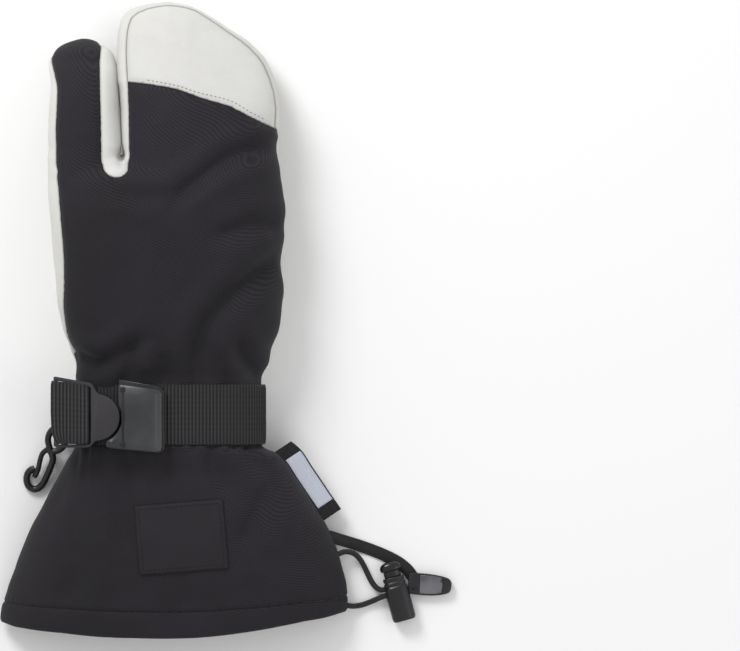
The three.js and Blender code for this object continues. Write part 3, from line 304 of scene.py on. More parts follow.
receiver_plastic = plastic_finish("receiver_plastic", rgb(56, 57, 60), rgb(40, 41, 44), 0.2, 0.34)
satin_plastic = plastic_finish("satin_plastic", rgb(30, 29, 33), rgb(19, 18, 22), 0.24, 0.38)
matt_plastic = plastic_finish("matt_plastic", rgb(46, 43, 48), rgb(34, 32, 37), 0.42, 0.56, 0.00008)
gloss_plastic = plastic_finish(
    "gloss_plastic", rgb(26, 26, 28), rgb(16, 16, 18), 0.1, 0.18, 0.00001)
dark_plastic = plastic_finish("dark_plastic", rgb(16, 16, 18), rgb(10, 10, 11), 0.4, 0.5)
clear_plastic = plastic_finish("smoke_plastic", rgb(112, 111, 116), rgb(62, 61, 66), 0.1, 0.2)
label_white = webbing_finish("label_white", rgb(214, 219, 232), rgb(184, 190, 206), 0.5)
lining_cloth = webbing_finish("lining_cloth", rgb(30, 30, 33), rgb(16, 16, 18), 0.9)


def patch_finish(name, light, dark, pitch):
    """Close twill or thread: fine diagonal ribs on the piece's own place."""
    finish = Finish(name, Specular_IOR_Level=0.25)
    x, y, z = finish.axes(finish.place)
    rib = finish.start.sum("SINE", (x + y + z) * (2000 * math.pi / pitch)) * 0.5 + 0.5
    lint = finish.noise(finish.place, 800, 2.0)
    tone = rib * 0.6 + lint * 0.4
    finish.set(Base_Color=tone.mix(dark, light))
    finish.set(Roughness=lint.between(0.2, 0.8, 0.6, 0.8))
    finish.bump(tone, 0.0001, 0.6)
    return finish.material


label_patch = patch_finish("label_patch", rgb(45, 41, 47), rgb(26, 24, 28), 1.0)
thread_white = patch_finish("white_thread", rgb(226, 224, 218), rgb(186, 183, 175), 0.4)
# The cap's stitches are real thread; their grey is painted shade of the needle holes.
thread_hole_shade = patch_finish("thread_painted_hole_shade", rgb(150, 148, 143), rgb(118, 116, 112), 0.4)
thread_black = patch_finish("black_thread", rgb(30, 29, 32), rgb(12, 12, 13), 0.4)
thread_grey = patch_finish("grey_thread", rgb(76, 74, 76), rgb(50, 48, 50), 0.4)
print("plastics, labels, threads and lining are made")

# %% [markdown]
# ## Small helpers for pieces
# A piece is a mesh with its place in its points. It rides on a body of the frame, takes the finish
# it is given as its material, and may stand for a CAD node. One function does all of that, so that
# no piece is forgotten.

# %% Put a piece on the mitt
def settle(bm_or_mesh, name, material, replaces=(), body="mitt", smooth=True):
    if isinstance(bm_or_mesh, bmesh.types.BMesh):
        mesh = bpy.data.meshes.new(name)
        bm_or_mesh.to_mesh(mesh)
        bm_or_mesh.free()
    else:
        mesh = bm_or_mesh
        mesh.name = name
    piece = bpy.data.objects.new(name, mesh)
    bpy.context.scene.collection.objects.link(piece)
    mesh.materials.clear()
    mesh.materials.append(material)
    mesh.polygons.foreach_set("use_smooth", [smooth] * len(mesh.polygons))
    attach(piece, body)
    if replaces:
        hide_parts(*replaces)
    return piece


def modifier(piece, kind, **settings):
    made = piece.modifiers.new(kind.title(), kind)
    for name, value in settings.items():
        setattr(made, name, value)
    return made


# %% [markdown]
# ## Cords first
# The hem's elastic cord leaves the cuff as two strands, lies on the floor and runs into the cord
# lock. A free cord has a fixed length and lies under its own weight, so its route is settled in
# the CAD model and repeated here. Each strand is a round tube along a smooth curve through the
# route, with a UV map that the braid follows.

# %% Routes of the strands and of the flat tape
strand_a = [
    (88.6, 44.6, 10.2), (92.6, 46.6, 8.6), (96, 47.6, 7.2), (100, 46.8, 5.2),
    (103.4, 44, 3.4), (106, 39.8, 2.3),
    (108.2, 35.1, 2), (110.5, 30.6, 2.5), (113.2, 27.5, 3.6), (115.6, 26.4, 4.4),
    (118, 26.77, 4.8), (121, 27.6, 4.8), (128.53, 29.69, 4.8),
]
strand_b = [
    (94.4, 18.4, 7.6), (98.6, 17.6, 5.4), (101.2, 17.5, 3.6), (104.5, 18, 2.3),
    (108.2, 19.2, 2), (112, 20.8, 2.6),
    (115.6, 22.4, 3.9), (118.6, 23.5, 4.7), (122, 24.45, 4.8), (129.41, 26.5, 4.8),
]
tape_route = [
    (86.4, 56.4, 12.2), (91.8, 54.6, 9.4), (95.6, 53.4, 6.2), (100, 52, 2.8), (106, 50, 1),
    (113, 47.4, 0.9),
    (119.5, 44.6, 0.9), (125.4, 41.4, 0.9), (130, 37.6, 0.9), (132.6, 34.2, 0.9),
    (134.4, 30.8, 0.9),
]


def smooth_route(points, count):
    """Points evenly spaced along a smooth curve through the given ones, and its length."""
    points = np.asarray(points, float)
    held = np.vstack([2 * points[:1] - points[1:2], points, 2 * points[-1:] - points[-2:-1]])
    t = np.linspace(0, 1, 24, endpoint=False)[:, None]
    fine = []
    for a, b, c, d in zip(held, held[1:], held[2:], held[3:]):
        cubic = t * (3 * (b - c) + d - a)
        fine.append(b + 0.5 * t * (c - a + t * (2 * a - 5 * b + 4 * c - d + cubic)))
    fine = np.vstack(fine + [points[-1:]])
    run = np.concatenate([[0], np.cumsum(np.linalg.norm(np.diff(fine, axis=0), axis=1))])
    even = np.linspace(0, run[-1], count)
    return np.column_stack([np.interp(even, run, fine[:, k]) for k in range(3)]), run[-1]


for route in (strand_a, strand_b, tape_route):
    print("route of", round(smooth_route(route, 10)[1], 1), "mm")

# %% [markdown]
# ## Swept pieces from a grid
# A cord, a tape or a sleeve is one grid rolled up. Blender's own grid operator makes the faces and
# the UV map, and a rule moves each of its points to its place. Where the grid's two long edges
# meet, they are welded, and open ends are filled.

# %% Roll a grid into shape
def rolled(steps, sides, rule, length=1.0, width=1.0, weld=True, fill=True):
    bm = bmesh.new()
    uv = bm.loops.layers.uv.new("UVMap")
    bmesh.ops.create_grid(bm, x_segments=steps, y_segments=sides, size=0.5, calc_uvs=True)
    flat = np.array([v.co for v in bm.verts])
    for v, place in zip(bm.verts, rule(flat[:, 0] + 0.5, flat[:, 1] + 0.5)):
        v.co = place
    for face in bm.faces:
        for loop in face.loops:
            loop[uv].uv = (loop[uv].uv.x * length, loop[uv].uv.y * width)
    if weld:
        bmesh.ops.remove_doubles(bm, verts=bm.verts, dist=1e-6)
    if fill:
        edges = [e for e in bm.edges if e.is_boundary]
        bmesh.ops.holes_fill(bm, edges=edges, sides=0)
    bmesh.ops.recalc_face_normals(bm, faces=bm.faces)
    return bm


def along_path(path, share):
    """Places and directions at shares of a path."""
    place = share * (len(path) - 1)
    at = np.column_stack([np.interp(place, range(len(path)), path[:, k]) for k in range(3)])
    slopes = np.gradient(path, axis=0)
    way = np.column_stack([np.interp(place, range(len(path)), slopes[:, k]) for k in range(3)])
    return at, way / np.linalg.norm(way, axis=1, keepdims=True)


def round_cord(route, diameter, steps, sides=14):
    path, length = smooth_route(route, 3 * steps)

    def rule(u, v):
        at, way = along_path(path, u)
        side = np.cross(way, [0, 0, 1])
        side /= np.linalg.norm(side, axis=1, keepdims=True)
        up = np.cross(side, way)
        turn = 2 * np.pi * v[:, None]
        return to_frame(at + diameter / 2 * (side * np.cos(turn) + up * np.sin(turn)))

    bm = rolled(steps, sides, rule, length)
    return bm, [list(p) for p in to_frame(path[::3])], length / 1000


# %% [markdown]
# ## Moulded pieces
# Hard plastic comes out of a mould with flat sides and eased rims. Two helpers cover it: a bar
# whose section swells and narrows along its length, and a plate drawn up from a flat outline. Both
# are made round their own origin, where their sizes are easy to read, and then carried into place.

# %% Bars and plates
def squared(value, power):
    """A sine or cosine bent so that a circle drawn with it grows corners."""
    return np.sign(value) * np.abs(value) ** power


def placed(bm, origin, turn=0.0, tilt=0.0):
    """Carry a shape made round its own origin, in metres, to its place on the mitt."""
    turned = Matrix.Rotation(math.radians(turn), 4, "Z")
    tilted = Matrix.Rotation(math.radians(tilt), 4, "Y")
    bm.transform(Matrix.Translation(to_frame(origin)) @ turned @ tilted)
    return bm


def moulded(profile, half_width, half_height, power=3.0, sides=40):
    """A bar along Y with rounded sides, whose section follows a profile of (place, share)."""
    profile = np.array(profile, float)

    def rule(u, v):
        rows = np.arange(len(profile))
        y, share = (np.interp(u * rows[-1], rows, column) for column in profile.T)
        turn = 2 * np.pi * v
        x = share * half_width * squared(np.cos(turn), 2 / power)
        z = share * half_height * squared(np.sin(turn), 2 / power)
        return np.column_stack([x, y, z]) / 1000
    return rolled(2 * len(profile) - 2, sides, rule)


def plate(loops, low, high, ease=0.4):
    """A moulded plate: flat outlines in millimetres, filled, drawn up and eased at the rim."""
    bm = bmesh.new()
    edges = []
    for loop in loops:
        verts = [bm.verts.new((x / 1000, y / 1000, low / 1000)) for x, y in loop]
        edges += [bm.edges.new(pair) for pair in zip(verts, verts[1:] + verts[:1])]
    bmesh.ops.triangle_fill(bm, edges=edges, use_beauty=True, normal=(0, 0, 1))
    drawn = bmesh.ops.extrude_face_region(bm, geom=bm.faces[:])["geom"]
    tops = [v for v in drawn if isinstance(v, bmesh.types.BMVert)]
    bmesh.ops.translate(bm, verts=tops, vec=(0, 0, (high - low) / 1000))
    bmesh.ops.recalc_face_normals(bm, faces=bm.faces)
    rim = [e for e in bm.edges if len(e.link_faces) == 2
           and abs(e.link_faces[0].normal.z - e.link_faces[1].normal.z) > 0.5]
    bmesh.ops.bevel(bm, geom=rim, offset=ease / 1000, offset_type="OFFSET", segments=3,
                    profile=0.5, affect="EDGES", material=-1, clamp_overlap=True)
    return bm


print("a cord is a grid rolled round its route")

# %% [markdown]
# ## The cord lock and the pull tab
# The lock is a bar with ring grooves near its mouth, where the button slides in and out, so the
# mouth's face is inset and sunk to leave a socket. The tab is a thin moulding with a smoky window.

# %% The lock: a barrel with ring grooves and a socket, and its glossy button
LOCK_PLACE, LOCK_TURN = (125.4, 21.484, 4.8), 15.5
barrel_bm = moulded([
    (-12.4, 0.78), (-12.2, 0.88), (-11.6, 0.96), (-10.4, 1), (-3, 1.01), (4.6, 1), (6.6, 0.97),
    (7.2, 0.88), (7.7, 0.87), (8.2, 0.94), (9.2, 0.94), (9.7, 0.85), (10.2, 0.85), (10.6, 0.91),
    (11.6, 0.91), (12.2, 0.89), (12.4, 0.86),
], 6.5, 4.6)
far_cap = max(barrel_bm.faces, key=lambda face: face.calc_center_median().y)
bmesh.ops.inset_region(barrel_bm, faces=[far_cap], thickness=0.0007)
socket = bmesh.ops.extrude_discrete_faces(barrel_bm, faces=[far_cap])["faces"]
bmesh.ops.translate(barrel_bm, verts=socket[0].verts, vec=(0, -0.0066, 0))
barrel = settle(placed(barrel_bm, LOCK_PLACE, LOCK_TURN), "lock_barrel", satin_plastic,
                ["cord_lock_barrel"])
button_bm = moulded([
    (12.1, 0.74), (12.3, 0.78), (15.9, 0.78), (16.1, 0.84), (16.4, 0.96), (17, 1), (18.4, 1),
    (19.7, 0.9), (20.5, 0.7), (21, 0.4),
], 5.9, 3.6, 2.6)
button = settle(placed(button_bm, LOCK_PLACE, LOCK_TURN), "lock_button_cap", gloss_plastic,
                ["cord_lock_button"], body="lock_button")
print(barrel.name, "and", button.name, "have", len(barrel.data.polygons), len(button.data.polygons))

# %% The pull tab: a dark body, a smoky window, a pin and a ring mark
TAB_PLACE, TAB_TURN = (132.4, 29.8, 0.3), -3.0
tab_outline = smooth_route([
    (-1.8, -4.2, 0), (-0.8, -5.4, 0), (4, -5.9, 0), (9, -6, 0), (14, -5.7, 0), (19, -4.7, 0),
    (21.4, -3.2, 0), (22, -0.6, 0), (21.8, 2.2, 0), (20, 4, 0), (14, 5.4, 0), (7, 6, 0),
    (0, 6, 0), (-1.5, 5, 0), (-2, 1, 0), (-1.95, -2.6, 0)], 46)[0][:, :2]
tab_body = settle(placed(plate([tab_outline], 0, 4.4, 1.0), TAB_PLACE, TAB_TURN),
                  "tab_body", satin_plastic, ["cord_end_tab"])
window = [(4.6, -5), (9, -5.1), (13.6, -4.8), (16.6, -4), (17, 0), (16.4, 4.2), (12, 5), (4.6, 5.2)]
tab_window = settle(placed(plate([window], 3.6, 4.9, 0.3), TAB_PLACE, TAB_TURN),
                    "tab_window", clear_plastic)


def ring_mark(name, x, y, z, radius, thick, material, place, turn, tilt=0.0):
    """A small rounded ring, such as a rivet's rim or a moulding mark."""
    def rule(u, v):
        around, across = 2 * np.pi * u, 2 * np.pi * v
        reach = radius + thick * np.cos(across)
        ring = [x + reach * np.cos(around), y + reach * np.sin(around), z + thick * np.sin(across)]
        return np.column_stack(ring) / 1000
    return settle(placed(rolled(20, 8, rule, fill=False), place, turn, tilt), name, material)


tab_pin = ring_mark("tab_pin", 1.6, -2.2, 4.4, 0.8, 0.5, gloss_plastic, TAB_PLACE, TAB_TURN)
tab_mark = ring_mark("tab_mark", 16.9, 2.6, 4.9, 0.9, 0.2, satin_plastic, TAB_PLACE, TAB_TURN)
print("the tab is", round(float(np.ptp(tab_outline[:, 0])), 1), "mm long")

# %% [markdown]
# ## The elastic cord
# Each strand is 3 mm thick. It leaves a small eyelet at the side seam, drops to the floor and goes
# into the lock's cross bore, so its far end is in a fitting.

# %% Two strands and the flat tape
CORD_DIAMETER = 3.0
strands = {}
for name, route in (("drawcord_a", strand_a), ("drawcord_b", strand_b)):
    bm, path, length = round_cord(route, CORD_DIAMETER, 90)
    strand = settle(bm, "elastic_" + name[-1], cord_braid, [name])
    strands[name] = strand
    print(strand.name, "is", round(length * 1000, 1), "mm long")


def tape_rule(path, width, thickness):
    def rule(u, v):
        at, way = along_path(path, u)
        side = np.cross(way, [0, 0, 1])
        side /= np.linalg.norm(side, axis=1, keepdims=True)
        up = np.cross(side, way)
        turn = 2 * np.pi * v
        across = squared(np.cos(turn), 0.35)[:, None] * width / 2
        rise = squared(np.sin(turn), 0.6)[:, None] * thickness / 2
        ribs = 1 + 0.22 * np.cos(across / width * 2 * np.pi * 3) * (np.abs(across) < width * 0.45)
        return to_frame(at + side * across + up * rise * ribs)
    return rule


TAPE_WIDTH = 6.6
path, length = smooth_route(tape_route, 120)
bm = rolled(110, 40, tape_rule(path, TAPE_WIDTH, 1.2), length, 2 * TAPE_WIDTH)
tape = settle(bm, "flat_tape", tape_weave, ["retaining_tape"])
print("tape is", round(length, 1), "mm long")

# %% [markdown]
# ## The cutting table
# The body of the mitt is a set of sections across it, each with a left and a right side, a floor
# side and a back, and the height of the side seam on either side. A smooth curve runs through each
# column and never overshoots, so the tube between two rows stays fair. A superellipse fills each
# section out.

# %% Sections of the cuff, the hand, the fingers and the thumb
CUFF, PALM, FINGERS, INDEX, THUMB = 131.0, 123.0, 96.0, 77.0, 126.0
HEM, WRIST, HAND = 190.0, 102.5, 128.0
CROTCH = CUFF + PALM
WRIST_RISE, HAND_RISE, THUMB_RISE = 50.0, 64.5, 24.0
FINGERS_WIDTH, INDEX_WIDTH, THUMB_WIDTH, PARTING = 90.0, 36.7, 60.0, 1.3


def sections(rows, start, length, left, right, rise):
    rows = np.array(rows, float)
    y = start + rows[:, 0] * length
    columns = [y, left(rows[:, 1]), right(rows[:, 2])]
    return np.column_stack(columns + [rows[:, k] * rise for k in (3, 4, 5, 6)] + [rows[:, 7]])


def half(narrow, wide):
    return lambda share: (narrow + share * (wide - narrow)) / 2


def mirrored(rule):
    return lambda share: -rule(share)


cuff_rows = sections([
    (0, 0.954, 1.046, -0.016, 0.8, 0.12, 0.12, 1.7),
    (0.153, 0.863, 1.03, -0.016, 0.88, 0.14, 0.14, 1.8),
    (0.305, 0.737, 0.97, -0.016, 0.94, 0.16, 0.16, 1.9),
    (0.458, 0.554, 0.817, -0.016, 0.97, 0.22, 0.22, 2),
    (0.584, 0.36, 0.577, -0.01, 0.97, 0.3, 0.28, 2.1),
    (0.687, 0.205, 0.371, 0.03, 0.96, 0.4, 0.34, 2.2),
    (0.74, 0.131, 0.269, 0.07, 0.98, 0.44, 0.38, 2.2),
    (0.785, 0.05, 0.12, 0.1, 1, 0.48, 0.42, 2.3),
    (0.807, 0.03, -0.02, 0.11, 1, 0.48, 0.42, 2.3),
    (1.09, 0.03, -0.02, 0.11, 1, 0.48, 0.42, 2.3),
], 0, CUFF, mirrored(half(WRIST, HEM)), half(WRIST, HEM), WRIST_RISE)
palm_rows = sections([
    (0.155, 0.1, 0.15, 0.11, 0.82, 0.42, 0.33, 2.3),
    (0.228, 0.373, 0.333, 0.16, 0.87, 0.5, 0.34, 2.4),
    (0.317, 0.647, 0.686, 0.23, 0.92, 0.56, 0.36, 2.4),
    (0.44, 0.882, 0.804, 0.31, 0.96, 0.62, 0.37, 2.5),
    (0.585, 1, 0.81, 0.37, 0.99, 0.65, 0.39, 2.5),
    (0.797, 1.133, 0.92, 0.4, 1, 0.66, 0.4, 2.5),
    (0.943, 1.235, 0.8, 0.4, 0.98, 0.65, 0.4, 2.5),
    (1, 1.267, 0.725, 0.395, 0.95, 0.64, 0.4, 2.4),
    (1.05, 1.1, 0.5, 0.42, 0.87, 0.63, 0.42, 2.3),
    (1.08, 0.7, 0.1, 0.46, 0.76, 0.61, 0.46, 2.2),
], CUFF, PALM, mirrored(half(WRIST, HAND)), half(WRIST, HAND), HAND_RISE)
trunk = np.vstack([cuff_rows, palm_rows])
FINGERS_LEFT = half(WRIST, HAND)(0.725) - FINGERS_WIDTH
INDEX_RIGHT = FINGERS_LEFT - PARTING
fingers = sections([
    (-0.25, 0.03, 1, 0.43, 0.93, 0.58, 0.42, 2.4),
    (-0.04, 0.005, 1, 0.4, 0.93, 0.56, 0.4, 2.4),
    (0.167, 0, 0.985, 0.33, 0.89, 0.51, 0.39, 2.4),
    (0.281, 0, 0.995, 0.28, 0.86, 0.48, 0.37, 2.4),
    (0.39, 0, 1, 0.225, 0.82, 0.43, 0.34, 2.4),
    (0.51, 0, 0.985, 0.17, 0.76, 0.39, 0.3, 2.4),
    (0.62, 0, 0.945, 0.12, 0.68, 0.34, 0.26, 2.4),
    (0.729, 0, 0.885, 0.07, 0.59, 0.28, 0.22, 2.3),
    (0.8125, 0, 0.812, 0.04, 0.5, 0.23, 0.19, 2.3),
    (0.875, 0.01, 0.726, 0.016, 0.42, 0.19, 0.17, 2.2),
    (0.923, 0.028, 0.64, 0, 0.34, 0.16, 0.155, 2.2),
    (0.964, 0.078, 0.536, 0.008, 0.255, 0.13, 0.13, 2.1),
    (0.99, 0.172, 0.445, 0.04, 0.185, 0.11, 0.11, 2),
    (1, 0.26, 0.35, 0.08, 0.125, 0.1, 0.1, 2),
], CROTCH, FINGERS, lambda s: FINGERS_LEFT + s * FINGERS_WIDTH,
    lambda s: FINGERS_LEFT + s * FINGERS_WIDTH, HAND_RISE)
index = sections([
    (-0.33, 0.93, 0.02, 0.46, 0.93, 0.66, 0.64, 2.3),
    (-0.05, 0.99, 0.01, 0.43, 0.93, 0.65, 0.62, 2.3),
    (0.21, 1, 0, 0.37, 0.88, 0.62, 0.59, 2.3),
    (0.48, 0.986, 0, 0.26, 0.8, 0.54, 0.51, 2.3),
    (0.636, 0.975, 0.003, 0.185, 0.73, 0.46, 0.43, 2.3),
    (0.753, 0.967, 0.005, 0.125, 0.65, 0.4, 0.37, 2.3),
    (0.83, 0.95, 0.02, 0.085, 0.57, 0.34, 0.32, 2.2),
    (0.896, 0.89, 0.06, 0.055, 0.5, 0.29, 0.28, 2.2),
    (0.948, 0.81, 0.17, 0.03, 0.4, 0.23, 0.23, 2.1),
    (0.98, 0.67, 0.28, 0.045, 0.31, 0.19, 0.19, 2),
    (1, 0.52, 0.42, 0.11, 0.2, 0.16, 0.16, 2),
], CROTCH, INDEX, lambda s: INDEX_RIGHT - s * INDEX_WIDTH,
    lambda s: INDEX_RIGHT - s * INDEX_WIDTH, HAND_RISE)
thumb = sections([
    (0, -0.7, 0.03, 0.5, 1.42, 0.96, 0.92, 2.1),
    (0.11, -0.77, 0.08, 0.32, 1.27, 0.82, 0.76, 2.1),
    (0.27, -0.82, 0.12, 0.09, 1.13, 0.66, 0.58, 2.2),
    (0.4, -0.84, 0.14, 0, 1.04, 0.56, 0.5, 2.2),
    (0.52, -0.82, 0.145, -0.02, 0.98, 0.5, 0.46, 2.2),
    (0.67, -0.7, 0.148, -0.02, 0.95, 0.48, 0.44, 2.2),
    (0.81, -0.55, 0.14, -0.02, 0.93, 0.46, 0.44, 2.2),
    (0.9, -0.43, 0.1, 0, 0.86, 0.44, 0.43, 2.2),
    (0.95, -0.36, 0.05, 0.06, 0.76, 0.42, 0.42, 2.1),
    (0.985, -0.28, -0.02, 0.17, 0.6, 0.4, 0.4, 2),
    (1, -0.21, -0.1, 0.28, 0.48, 0.39, 0.39, 2),
], CUFF + 0.122 * PALM, THUMB, lambda s: s * THUMB_WIDTH, lambda s: s * THUMB_WIDTH, THUMB_RISE)
print("rows:", len(trunk), len(fingers), len(index), len(thumb))

# %% A section anywhere along a tube
def section_at(rows, y):
    """The columns of a table at each y: left, right, low, high, left seam, right seam, power."""
    y = np.atleast_1d(np.asarray(y, float))
    ys, columns = rows[:, 0], rows[:, 1:]
    i = np.clip(np.searchsorted(ys, y, side="right") - 1, 0, len(ys) - 2)
    step = np.diff(ys)
    secant = np.diff(columns, axis=0) / step[:, None]
    product = secant[:-1] * secant[1:]
    total = np.where(product > 0, secant[:-1] + secant[1:], 1)
    inner = np.where(product > 0, 2 * product / total, 0)
    slope = np.vstack([secant[:1], inner, secant[-1:]])
    t = np.clip((y - ys[i]) / step[i], 0, 1)[:, None]
    width = step[i][:, None]
    eased = columns[i] + (columns[i + 1] - columns[i]) * t * t * (3 - 2 * t)
    pull = slope[i] * width * t * (1 - t) ** 2 - slope[i + 1] * width * t * t * (1 - t)
    return (eased + pull).T


def surface(rows, y, angle, inset=0.0):
    """Points of a tube's outside, or of its inside where inset is the wall."""
    left, right, low, high, left_seam, right_seam, power = section_at(rows, y)
    side = np.sign(np.cos(angle)) * np.abs(np.cos(angle)) ** (2 / power)
    rise = np.sign(np.sin(angle)) * np.abs(np.sin(angle)) ** (2 / power)
    seam_middle = (left_seam + right_seam) / 2
    reach = np.where(rise > 0, high - seam_middle, seam_middle - low) - inset
    x = (left + right) / 2 + ((right - left) / 2 - inset) * side
    z = left_seam + (right_seam - left_seam) * (side + 1) / 2 + rise * reach
    return np.column_stack([x, np.broadcast_to(y, x.shape), z])


def seam_height(rows, x, y):
    left, right, _, _, left_seam, right_seam, _ = section_at(rows, y)
    share = np.clip((x - left) / (right - left), 0, 1)
    return left_seam + (right_seam - left_seam) * share


wrist_left, wrist_right = section_at(trunk, 123.5)[:2]
print("the wrist is", (wrist_right - wrist_left).round(1), "mm wide")

# %% [markdown]
# ## Folds
# Padded cloth doesn't wrinkle at random. It creases where it is bent or squeezed: across the
# knuckles, from the crotch of the fingers, and where the strap gathers it. Each crease is a line
# with a depth and a reach, fading out at its ends, with a soft ridge on either side.

# %% Creases and slow waves
CREASE_SHARE = 1.35
creases = [
    # points (mm), depth, reach
    ([(60.5, 271), (43, 268.5), (32, 264), (19, 255), (7, 245), (1, 235)], 2.6, 4.6),
    ([(64, 226.5), (48, 228), (34.6, 224.4), (23, 220)], 2.0, 4.5),
    ([(62, 212), (51.4, 202.7), (38.8, 193), (26.2, 180.4), (17.8, 165), (13.5, 140)], 3.2, 5.5),
    ([(51, 141), (40, 155), (36, 168)], 1.8, 4.0),
    ([(-57, 158), (-46, 153), (-37, 152), (-26, 158), (-12, 165)], 2.4, 4.5),
    ([(-30, 249), (-20, 243), (-8, 243), (4, 248)], 1.0, 4.5),
    ([(-27, 138), (-22, 152), (-20, 166)], 1.5, 4.0),
    ([(-5, 138), (-3, 150), (-6, 158)], 1.2, 4.0),
    ([(32, 136), (27, 148), (28, 158)], 1.2, 3.5),
    ([(65, 91), (55, 80), (44, 62), (38, 47)], 2.2, 6.0),
    ([(-28, 107), (-28, 90), (-27, 70), (-25, 44)], 2.0, 6.5),
    ([(22, 106), (25, 92), (33, 80)], 1.4, 4.5),
    ([(-48, 107), (-56, 90), (-66, 66)], 1.2, 4.5),
    ([(0, 107), (0, 97), (2, 90)], 1.2, 4.0),
    ([(41, 107), (47, 97), (55, 92)], 1.3, 4.0),
    ([(10, 16), (6, 28), (8, 40)], 0.9, 6.0),
    ([(-60, 18), (-52, 30), (-50, 42)], 0.9, 6.0),
]


def crease_depth(points):
    """How far the creases press the outside in at each point, in millimetres."""
    flat = points[:, :2]
    total = np.zeros(len(flat))
    for line, depth, reach in creases:
        line = smooth_route([(x, y, 0) for x, y in line], 24)[0][:, :2]
        nearest = np.full(len(flat), 1e9)
        place = np.zeros(len(flat))
        for k, (a, b) in enumerate(zip(line, line[1:])):
            way = b - a
            share = np.clip(((flat - a) @ way) / (way @ way), 0, 1)
            distance = np.linalg.norm(flat - a - share[:, None] * way, axis=1)
            closer = distance < nearest
            nearest = np.where(closer, distance, nearest)
            place = np.where(closer, (k + share) / (len(line) - 1), place)
        fade = np.clip(np.minimum(place, 1 - place) * 4 + 0.25, 0, 1)
        valley = np.exp(-(nearest / reach) ** 2)
        ridge = np.exp(-((nearest - 2.3 * reach) / (1.2 * reach)) ** 2)
        total += CREASE_SHARE * depth * fade * (valley - 0.4 * ridge)
    return total


def waves(points, size, seed):
    """Slow noise over the points, about -1 to 1, with waves of that many millimetres."""
    shift = Vector((seed * 17.3, seed * 5.1, seed * 9.7))
    return np.array([noise.noise(Vector(p) / size + shift) for p in points])


print(len(creases), "creases")

# %% [markdown]
# ## The cuff
# The cuff is a funnel of lined softshell, open at the hem, where an elastic cord runs in a casing
# 15 mm deep. The strap gathers it at the wrist. One grid is rolled round the sections, the creases
# and gathers are pressed in, and Solidify gives it its lined thickness.

# %% Cuff
CUFF_WALL = 2.5
HEM_SWEEP = 15.0
CASING = 15.0


# The hem hangs a little lower on the left and rises a little on the right (mm).
HEM_UNEVEN = [(-96, -5.5), (-84, -5.6), (-70, -3.8), (-58, -2.2), (-40, -1.2), (-20, 0), (15, 0.6),
              (38, 1.5), (60, 1.8), (73, 1.6), (84, 0.4), (96, 0)]


def hem_sweep(x, y):
    left, right = section_at(trunk, y)[:2]
    fade = np.clip(1 - y / (CUFF / 2), 0, 1) ** 2
    even = HEM_SWEEP * (np.abs(x - (left + right) / 2) / (HEM / 2)) ** 2.2
    return fade * (even + np.interp(x, *np.array(HEM_UNEVEN).T))


def cuff_rule(u, v):
    y = CUFF * u
    angle = 2 * np.pi * v
    points = surface(trunk, y, angle)
    back = np.clip(np.sin(angle), 0, 1) ** 0.5
    hem_line = 0.55 * np.exp(-((y - CASING) / 1.1) ** 2)
    casing = 0.5 * np.sin(np.pi * np.clip(y / CASING, 0, 1)) - hem_line
    edge = -0.9 * np.exp(-(y / 1.1) ** 2)
    pinch = np.exp(-np.abs(y - 105) / 9) * (y < 107)
    gather = pinch * (0.9 * np.sin(points[:, 0] * 0.75 + 2 * np.sin(points[:, 0] * 0.13)) + 0.3)
    gather = gather - 0.5 * ((y > 106) & (y < 126))
    press = crease_depth(points) * back - waves(points, 34, 1) * 1.1 - waves(points, 11, 2) * 0.25
    press = press - casing - edge - gather * (0.4 + 0.6 * back)
    pull = np.sin(angle * 60 + 3 * np.sin(angle * 7))
    hem_pucker = np.exp(-((y - CASING) / 5) ** 2) * 0.22 * pull
    moved = surface(trunk, y, angle, press + hem_pucker)
    moved[:, 1] += hem_sweep(moved[:, 0], y)
    moved[:, 0] -= 2.4 * np.clip((-25 - moved[:, 0]) / 40, 0, 1) * np.clip((112 - y) / 30, 0, 1)
    moved[:, 2] = np.maximum(moved[:, 2], 0)
    return to_frame(moved)


bm = rolled(140, 220, cuff_rule, CUFF, 400, fill=False)
cuff = settle(bm, "cuff_shell", softshell, ["cuff"])
cuff_points = np.array([v.co for v in cuff.data.vertices]) * 1000 + ORIGIN
from_hem = cuff_points[:, 1] - hem_sweep(cuff_points[:, 0], cuff_points[:, 1])
seam = cuff.data.attributes.new("seam", "FLOAT", "POINT")
seam.data.foreach_set("value", np.minimum(np.abs(from_hem - CASING) + 0.3, 20))
modifier(cuff, "SOLIDIFY", thickness=CUFF_WALL / 1000, offset=-1.0, use_even_offset=False)
cuff.data.materials.append(lining_cloth)
cuff.modifiers[-1].material_offset = 1
print("cuff has", len(cuff.data.polygons), "faces before its wall")

# %% [markdown]
# ## One skin for the hand
# The hand, the index finger and the three-finger part grow out of one another, so they are made as
# three rolled tubes and joined by a voxel remesh, which leaves one even skin. Before that the index
# tube is moved aside a little, so that the voxels don't close the narrow parting, and afterwards it
# is moved back.

# %% Join three tubes into one skin
SPREAD = 3.0
VOXEL = 1.25
SPLIT = (INDEX_RIGHT + FINGERS_LEFT) / 2


def spread_of(y):
    return SPREAD * np.clip((y - CROTCH - 10) / 6, 0, 1)


def closed_tube(rows, first, last, steps, sides, spread=0.0, inset=0.0):
    def rule(u, v):
        y = first + (last - first) * (1 - (1 - u) ** 1.8)
        points = surface(rows, y, 2 * np.pi * v, inset)
        points[:, 0] -= spread * spread_of(y) / SPREAD
        return to_frame(points)
    return rolled(steps, sides, rule)


